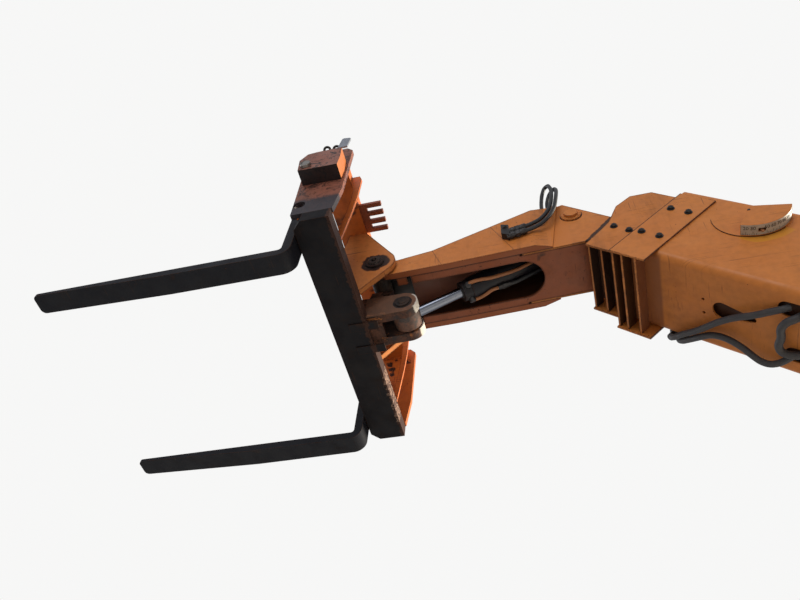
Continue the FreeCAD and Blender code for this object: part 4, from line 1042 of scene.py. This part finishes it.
@dataclass
class Boom:
    """Base and middle sections: collar bolts, welds, port fittings and the dial's scale.

    Attributes:
        half: half the width of the base section, in millimetres.
        bottom: underside of the base section above the pivot's line.
        front: mouth of the base section at half its height.
        lean: how much the mouth leans back for each millimetre of height.
        collar: length of the base collar.
        bolts: body, half the width over its collar, and (along, above the base section's bottom) of each bolt.
        cheek: outline (along, height) of the rear cheeks' weld.
        feet: (middle, half the length, half the width) of each lug pair's foot plates.
        dial: the angle scale.
    """

    half: float = 207.0
    bottom: float = -105.0
    front: float = 4288.0
    lean: float = 0.0456
    collar: float = 174.0
    bolts: tuple[tuple[str, float, tuple[Pair, ...]], ...] = (
        ("base_boom", 216.0, ((4246.0, 323.0), (4160.0, 323.0), (4258.0, 110.0), (4170.0, 109.0))),
        ("mid_boom", 185.5, ((4422.0, 137.0), (4341.0, 136.0))))
    cheek: tuple[Pair, ...] = (
        (-170, 22), (-80, -72), (420, -93), (600, -60), (618, 15), (318, 250), (-150, 255), (-170, 22))
    feet: tuple[Point, ...] = ((1500, 210, 115), (520, 130, 75))
    dial: Dial = Dial()

    def mouth(self, rise: float) -> float:
        """Front of the base section at a height above its bottom."""
        return self.front + self.lean * (256.0 - rise)

    def build(self, finish: Finisher) -> None:
        """Makes every piece of the boom."""
        self.fasten(finish)
        self.weld(finish)
        self.dial.build(finish)
        self.ports(finish)

    def fasten(self, finish: Finisher) -> None:
        """Bolts through both collars on both sides."""
        for body, half, places in self.bolts:
            piece = Piece("bolts_" + body, BOOM)
            for along, rise in places:
                for side in SIDES:
                    piece.add(*Bolt().grids((along, side * half, self.bottom + rise), (0, side, 0)))
            piece.make(body, Slot.FITTING, finish["bolt_steel"])

    def weld(self, finish: Finisher) -> None:
        """Beads round the collar plates, the rear cheeks and the lugs' foot plates."""
        piece = Piece("boom_welds", BOOM)
        b = self.bottom
        low, top = self.mouth(30) - self.collar, self.mouth(456) - self.collar
        for side in SIDES:
            y = side * self.half
            piece.add(bead([(low, y, b + 34), (top, y, b + 455)], 2.0),
                      bead([(top, y, b + 456), (self.mouth(456), y, b + 456)], 3.4),
                      bead([(x, side * (self.half + 1), z) for x, z in self.cheek], 4.5))
            piece.add(*[bead([(middle - reach, side * width, b - 1), (middle + reach, side * width, b - 1)], 4.0)
                        for middle, reach, width in self.feet])
        piece.make("base_boom", Slot.PAINT, finish["boom_paint"], 60)

    def ports(self, finish: Finisher) -> None:
        """Hexagon unions and ferrules where the hoses leave the port block, and its two fixing screws."""
        piece = Piece("port_fittings", BOOM)
        nut, sleeve = drum(19, 0, -13, -15, 16.5), ferrule(16.6, 17.2, 15.4, (-15, -18, -40, -43))
        for along in (4078.0, 4034.0):
            centre = (along, -236.0, self.bottom + 45.0)
            piece.add(turned(nut, centre, (0, 0, 1), 6), turned(sleeve, centre, (0, 0.03, 1), 20))
        for along in (4040.0, 4072.0):
            piece.add(*Bolt(7.5, 7.0, 9.0).grids((along, -257.0, self.bottom + 74.0), (0, -1, 0)))
        piece.make("base_boom", Slot.FITTING, finish["fitting_steel"])


@dataclass
class Head:
    """Gooseneck: welds, throat plate, plate seams, unions of the looped hoses and washers of the cylinder pin.

    Attributes:
        half: half the width over the cheeks, in millimetres.
        inner_half: half the width of the inner section.
        pin: middle of the cylinder pin behind and above the nose pin.
        seams: (x, z) of the top and of the foot of each seam across a cheek.
    """

    half: float = 178.0
    inner_half: float = 146.0
    pin: Pair = CYLINDER_PIN
    seams: tuple[tuple[Pair, Pair], ...] = (((-273, 78), (-322, -60)), ((-562, 205), (-668, -38)))

    def build(self, finish: Finisher) -> None:
        """Makes every piece of the head."""
        self.weld(finish)
        self.seam(finish)
        self.unions(finish)
        self.washers(finish)

    def weld(self, finish: Finisher) -> None:
        """Beads along the floor and the roof, and the dark plate that closes the throat."""
        piece, i = Piece("head_welds", LEVEL), self.inner_half
        floor, roof = ((-325, -52), (-560, -38)), ((-132, 44), (-273, 71), (-560, 197), (-815, 311))
        for side in SIDES:
            piece.add(bead([(x, side * (i - 2), z) for x, z in floor], 3.2),
                      bead([(x, side * (i - 1), z) for x, z in roof], 3.6))
        piece.make("inner_boom", Slot.PAINT, finish["head_paint"], 60)
        edge = i + 0.5
        corners = [(-142, edge, 33), (-20, edge, 31), (-20, -edge, 31), (-142, -edge, 33)]
        Piece("throat_plate", LEVEL, [slab(corners, (0, 0, 1), 8.0)]).make(
            "inner_boom", Slot.PAINT, finish["grease"])

    def seam(self, finish: Finisher) -> None:
        """Hairlines across the cheeks where their plates are joined."""
        piece = Piece("cheek_seams", LEVEL)
        for y in (self.half + 0.1, -self.half - 0.1):
            for ends in self.seams:
                piece.add(swept(straight_path([(x, y, z) for x, z in ends], 12), 0.9, 6))
        piece.make("inner_boom", Slot.PAINT, finish["grease"])

    def unions(self, finish: Finisher) -> None:
        """Elbow bodies, hexagons and ferrules of the looped hoses."""
        piece = Piece("loop_fittings", LEVEL)
        collar = [(0, -40), (16, -40), (17, -38), (17, -24), (14, -20), (14, -16), (0, -16)]
        elbow = ((drum(19.5, -16, 2, 5, 17), 6), (ferrule(15, 15.6, 13.5, (5, 8, 34, 38)), 20), (collar, 24))
        for z, climb in ((112, 0.32), (72, 0.26)):
            piece.add(*[turned(profile, (-700, 196, z), (-1, 0, climb), sides) for profile, sides in elbow])
        upright = ((drum(15, -20, -6, -2, 12), 6), (ferrule(12, 13, 11.5, (-2, 0, 26, 29)), 18))
        for x, y in ((-822, 120), (-850, 98)):
            piece.add(*[turned(profile, (x, y, 350), (0, 0, 1), sides) for profile, sides in upright])
        piece.add(*Bolt(9, 8, 12).grids((-637, 212, 118), (0, 1, 0)))
        piece.make("inner_boom", Slot.FITTING, finish["fitting_steel"])

    def washers(self, finish: Finisher) -> None:
        """Painted flange ring under each of the cylinder pin's heads."""
        ring, (x, z) = [(44, 7.0), (44, 8.6), (36, 8.6), (36, 7.0), (44, 7.0)], self.pin
        rings = [turned(ring, (x, side * self.inner_half, z), (0, side, 0), 48) for side in SIDES]
        Piece("pin_washers", LEVEL, rings).make("inner_boom", Slot.PAINT, finish["head_paint"])


@dataclass
class TiltCylinder:
    """Pipes, ports, hose and gland of the tilt cylinder, measured along the barrel from its rear pin.

    Attributes:
        reach: the gland's front face, in millimetres.
        pitch: radius on which the gland's notches stand.
        pipes: route and radius of each steel pipe.
        hose: route of the hose that goes on behind the blocks.
        ports: (along, y, z) of each port.
        blocks: (along, y, z, radius) of each block between the pipes.
    """

    reach: float = 640.0
    pitch: float = 50.0
    pipes: tuple[tuple[tuple[Point, ...], float], ...] = (
        (((606, 50, -30), (585, 54, -36), (545, 50, -40), (500, 42, -50), (440, 34, -54), (395, 29, -57),
          (330, 27, -58), (270, 30, -56), (215, 34, -52)), 9.0),
        (((604, -40, -44), (575, -42, -47), (540, -34, -53), (508, -22, -59), (470, -26, -58)), 8.5))
    hose: tuple[Point, ...] = (
        (410, -33, -57), (370, -38, -56), (320, -40, -52), (250, -36, -54), (190, -30, -55))
    ports: tuple[Point, ...] = ((610, 46, -34), (608, -40, -44), (205, 34, -50))
    blocks: tuple[tuple[float, float, float, float], ...] = (
        (462, -26, -58, 13.0), (440, -28, -58, 16.0), (418, -32, -57, 13.0))

    def build(self, finish: Finisher) -> None:
        """Makes every piece of the cylinder."""
        body = "tilt_barrel"
        pipes = [swept(smooth_path(route, 6), radius, 14) for route, radius in self.pipes]
        Piece("cylinder_pipes", BARREL, pipes).make(body, Slot.PAINT, finish["pipe_paint"])
        fittings = Piece("cylinder_ports", BARREL)
        for place in self.ports:
            fittings.add(turned(drum(17, -16, 6, 9, 14), place, (0.0, *place[1:]), 20))
        for *place, size in self.blocks:
            fittings.add(turned(drum(size, -11, 9, 11, size - 2), place, (1, 0.1, 0), 6))
        fittings.add(turned(drum(30, 0, 3, 5, 27.5), (self.reach, 0, 0), (1, 0, 0), 36))
        fittings.make(body, Slot.FITTING, finish["fitting_steel"])
        Piece("cylinder_hoses", BARREL, [swept(smooth_path(self.hose, 6), 10.5, 14)]).make(
            body, Slot.RUBBER, finish["hose_cover"])
        notches = Piece("gland_notches", BARREL)
        for angle in np.radians(np.arange(6) * 60 + 15).tolist():
            out = (0, math.cos(angle), math.sin(angle))
            place = (self.reach - 16, self.pitch * out[1], self.pitch * out[2])
            notches.add(turned([(0, -2), (6, -2), (6, 0.8), (0, 0.8)], place, out, 12))
        notches.make(body, Slot.STEEL, finish["grease"])


@dataclass
class Carriage:
    """Fork carriage: welds, feet of the rod's ears, pin plugs, ring bolts and the leaning tab.

    Attributes:
        half: half the carriage's width, in millimetres.
        bar_top: top of the bottom bar below the nose pin.
        bar_foot: underside of the bottom bar.
        beam: underside of the upper beam.
        pivot_outer: outer face of the pivot plates' bosses.
        faces: distances across of the pivot plates' faces.
        ear: distance across of the rod's ears' outer faces.
        keeper: outer face of the left keeper block.
    """

    half: float = 665.0
    bar_top: float = -233.0
    bar_foot: float = -308.5
    beam: float = 307.0
    pivot_outer: float = 224.0
    faces: tuple[float, ...] = (186, 214, -186, -214)
    ear: float = 90.0
    keeper: float = 743.0

    def build(self, finish: Finisher) -> None:
        """Makes every piece of the carriage."""
        self.weld(finish)
        self.plugs(finish)
        self.hangers(finish)

    def weld(self, finish: Finisher) -> None:
        """Beads where the upright plates stand on the bar and under the beam, and the ears' feet."""
        z, top, ends = self.bar_top, self.beam, (self.half - 25, 25 - self.half)
        runs = [[(low, y, z), (high, y, z)] for low, high, places in (
            (48, 212, ends), (72, 198, self.faces), (57, 83, (490, 505, -490, -505))) for y in places]
        runs += [[(80, y, top), (168, y, top)] for y in self.faces]
        runs += [[(75, y, 372), (75, y, top), (214, y, top)] for y in (self.half - 26, 26 - self.half)]
        runs += [[(150, start, z), (150, start + 92, z)] for start in (-184, 92)]
        piece = Piece("carriage_welds", LEVEL, [bead(run, 4.0) for run in runs])
        for side in SIDES:
            y = side * self.ear
            piece.add(bead([(149, y, -112), (149, y, z)], 4.0), bead([(52, y, z + 1), (148, y, z + 1)], 4.5))
        piece.make("carriage", Slot.PAINT, finish["carriage_paint"], 60)
        foot = ((-6, 46), (132, 46), (132, self.ear), (-6, self.ear))
        feet = [slab([(x, side * y, self.bar_foot) for x, y in foot], (0, 0, 1), 6.0) for side in SIDES]
        Piece("ear_feet", LEVEL, feet).make("carriage", Slot.DARK, finish["bar_paint"])

    def plugs(self, finish: Finisher) -> None:
        """Plugs with a nipple in the pivot pin's ends, and nuts on the rod's ears."""
        piece, (x, z) = Piece("pin_plugs", LEVEL), ROD_EYE
        nipple = [(0, 3.2), (7, 3.2), (7, 6), (3.5, 8), (0, 11)]
        for side in SIDES:
            axis, end = (0, side, 0), (0, side * (self.pivot_outer + 6.0), 0)
            piece.add(turned(drum(30, 0, 1.6, 3.2, 26), end, axis, 36), turned(nipple, end, axis, 10),
                      turned(drum(21, 0, 2, 4, 18), (x, side * (self.ear + 7.0), z), axis, 24))
        piece.make("carriage", Slot.STEEL, finish["boss_rust"])

    def hangers(self, finish: Finisher) -> None:
        """Ring bolts and the leaning tab on the left keeper block.

        A ring's wire follows a circle: its middle plus the radius times the cosine and the sine of the angle
        along two directions square to each other, so that the ring faces the camera.
        """
        rings, outer = Piece("ring_bolts", LEVEL), self.keeper
        angle = np.linspace(0, FULL_TURN, 33)[:, None]
        flat, steep = np.array((0.966, 0.246, -0.073)), np.array((-0.159, 0.796, 0.584))
        for x, z in ((123.0, 255.0), (74.0, 243.0)):
            middle, end = np.array((x, outer - 18.5, z)), z - 226.0
            rings.add(swept(middle + 14.5 * (np.cos(angle) * flat + np.sin(angle) * steep), 6.0, 10))
            stem = [(0, -3), (10, -3), (10, 5), (6.5, 8), (6.0, end), (0, end)]
            rings.add(turned(stem, (x, outer - 22.0, 212.0), (0, -0.12, 1), 14))
        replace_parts(rings.make("carriage", Slot.STEEL, finish["ring_steel"]), "keeper_rings")
        tab = ((60, 213), (50, 306), (42, 313), (12, 305), (6, 297), (13, 213))
        leg = ((41, 34), (58, 60), (60, 225), (41, 225))
        plate = Piece("leaning_tab", LEVEL, [slab([(x, outer - inset, z) for x, z in outline], (0, 1, 0), thick)
                                             for outline, inset, thick in ((tab, 8.0, 8.0), (leg, 7.5, 7.0))])
        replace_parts(plate.make("carriage", Slot.STEEL, finish["tab_steel"], 20), "top_tab")


# ------------------------------------------------------------------------------------------------ studio


@dataclass(frozen=True)
class Studio:
    """Camera at the photograph's station, pale floor and world, and soft lights.

    Attributes:
        station: the camera's place in the row frame, in metres.
        right: the picture's right, in the row frame.
        down: the picture's downward direction.
        ahead: the viewing direction.
        focal: focal length in pixels of a picture 800 wide.
        white: the background.
        drop: how far the floor lies below the object, in metres.
        spread: half the floor's width, in metres.
        rows: name, place, target, size in metres, power in watts and colour of each lamp.
    """

    station: Point = (3.5114, 2.0860, -0.0533)
    right: Point = (-0.9664256850644667, -0.24627196096641216, 0.0732906302977011)
    down: Point = (0.15852324888939448, -0.7959498247755842, -0.5842381843060825)
    ahead: Point = (0.20221714766366233, -0.5530045186808829, 0.808266186048444)
    focal: float = 762.678
    white: Colour = (0.93, 0.93, 0.925)
    drop: float = 0.02
    spread: float = 60.0
    rows: tuple[tuple[str, Point, Point, float, float, Colour], ...] = (
        ("key", (-4.2, -2.6, 5.4), (4.2, 0.0, 3.0), 2.0, 2100.0, (1.0, 0.92, 0.76)),
        ("fill", (4.5, 7.5, 4.2), (3.8, 0.0, 2.8), 5.0, 250.0, (0.96, 0.98, 1.0)),
        ("rim", (8.5, -2.5, 5.5), (4.0, 0.0, 3.0), 3.0, 120.0, (0.95, 0.97, 1.0)))

    def build(self) -> None:
        """Makes the camera, the floor, the world and the lights."""
        scene = bpy.context.scene
        scene.view_settings.view_transform = "Standard"
        self.camera(scene)
        self.floor(float(CAD_BOX[0][2]) - self.drop)
        self.world(scene)
        self.lamps()

    def camera(self, scene: bpy.types.Scene) -> None:
        """The camera, whose own X is the picture's right and whose own Z points back."""
        lens = bpy.data.cameras.new("camera")
        lens.sensor_fit, lens.sensor_width, lens.lens = "HORIZONTAL", 36.0, self.focal / 800 * 36
        lens.clip_start, lens.clip_end = 0.05, 200
        scene.camera = link("camera", lens)
        stand(scene.camera, (self.right, -np.asarray(self.down), -np.asarray(self.ahead)), self.station)

    def floor(self, height: float) -> None:
        """A wide pale floor that keeps shadows and turns as white as the background far from the object."""
        mesh = bpy.data.meshes.new("floor")
        corners = [(x * self.spread, y * self.spread, height) for x, y in ((-1, -1), (1, -1), (1, 1), (-1, 1))]
        mesh.from_pydata(corners, [], [(0, 1, 2, 3)])
        g = Graph("floor_finish")
        seen = g.mix(g.noise(0.8, 3, 0.5), (0.70, 0.70, 0.69), (0.74, 0.74, 0.73))
        rays = g.node("LightPath").outputs
        watched = g.most(rays["Is Camera Ray"], g.most(rays["Is Glossy Ray"], rays["Is Transmission Ray"]))
        away = g.node("VectorMath", operation="LENGTH")
        g.feed(away.inputs[0], g.coords)
        far = g.times(g.step(away.outputs["Value"], 5.5, 13.0), rays["Is Camera Ray"])
        near = g.mix(watched, (0.27, 0.265, 0.26), seen)
        mesh.materials.append(g.finish(Base_Color=g.mix(far, near, (0.0, 0.0, 0.0)), Roughness=0.9,
                                       Emission_Color=self.white, Emission_Strength=far))
        link("floor", mesh)

    def world(self, scene: bpy.types.Scene) -> None:
        """Even pale light all round, white where the camera or a ray through glass meets it."""
        scene.world = bpy.data.worlds.new("studio")
        scene.world.use_nodes = True
        nodes, links = scene.world.node_tree.nodes, scene.world.node_tree.links
        light, back, path, pick, mix = nodes["Background"], *(
            nodes.new("ShaderNode" + kind) for kind in ("Background", "LightPath", "Math", "MixShader"))
        for sky, colour, strength in ((light, (0.93, 0.95, 1.0), 0.62), (back, self.white, 1.0)):
            sky.inputs["Color"].default_value = (*colour, 1.0)
            sky.inputs["Strength"].default_value = strength
        pick.operation = "MAXIMUM"
        for source, target in ((path.outputs["Is Camera Ray"], pick.inputs[0]),
                               (path.outputs["Is Transmission Ray"], pick.inputs[1]),
                               (pick.outputs[0], mix.inputs[0]), (light.outputs[0], mix.inputs[1]),
                               (back.outputs[0], mix.inputs[2]),
                               (mix.outputs[0], nodes["World Output"].inputs["Surface"])):
            links.new(source, target)

    def lamps(self) -> None:
        """A warm key from behind and above, a wide fill from the camera's side and a weak rim."""
        for name, place, target, size, power, colour in self.rows:
            lamp = bpy.data.lights.new(name, "AREA")
            lamp.shape, lamp.size, lamp.energy, lamp.color = "DISK", size, power, colour
            ahead = np.asarray(target, float) - np.asarray(place)
            ahead /= np.linalg.norm(ahead)
            side = np.cross(ahead, (0.0, 0.0, 1.0))
            side /= np.linalg.norm(side)
            stand(link(name, lamp), (side, np.cross(side, ahead), -ahead), place)


def main() -> None:
    """Dresses the CAD nodes, builds each sub-assembly's pieces and sets up the studio."""
    logging.basicConfig(level=logging.INFO, format="%(name)s %(message)s")
    finish = Finisher()
    finish.dress(frame["nodes"])
    for part in (Boom(), Head(), TiltCylinder(), Carriage()):
        part.build(finish)
    Studio().build()


if __name__ == "__main__":
    main()
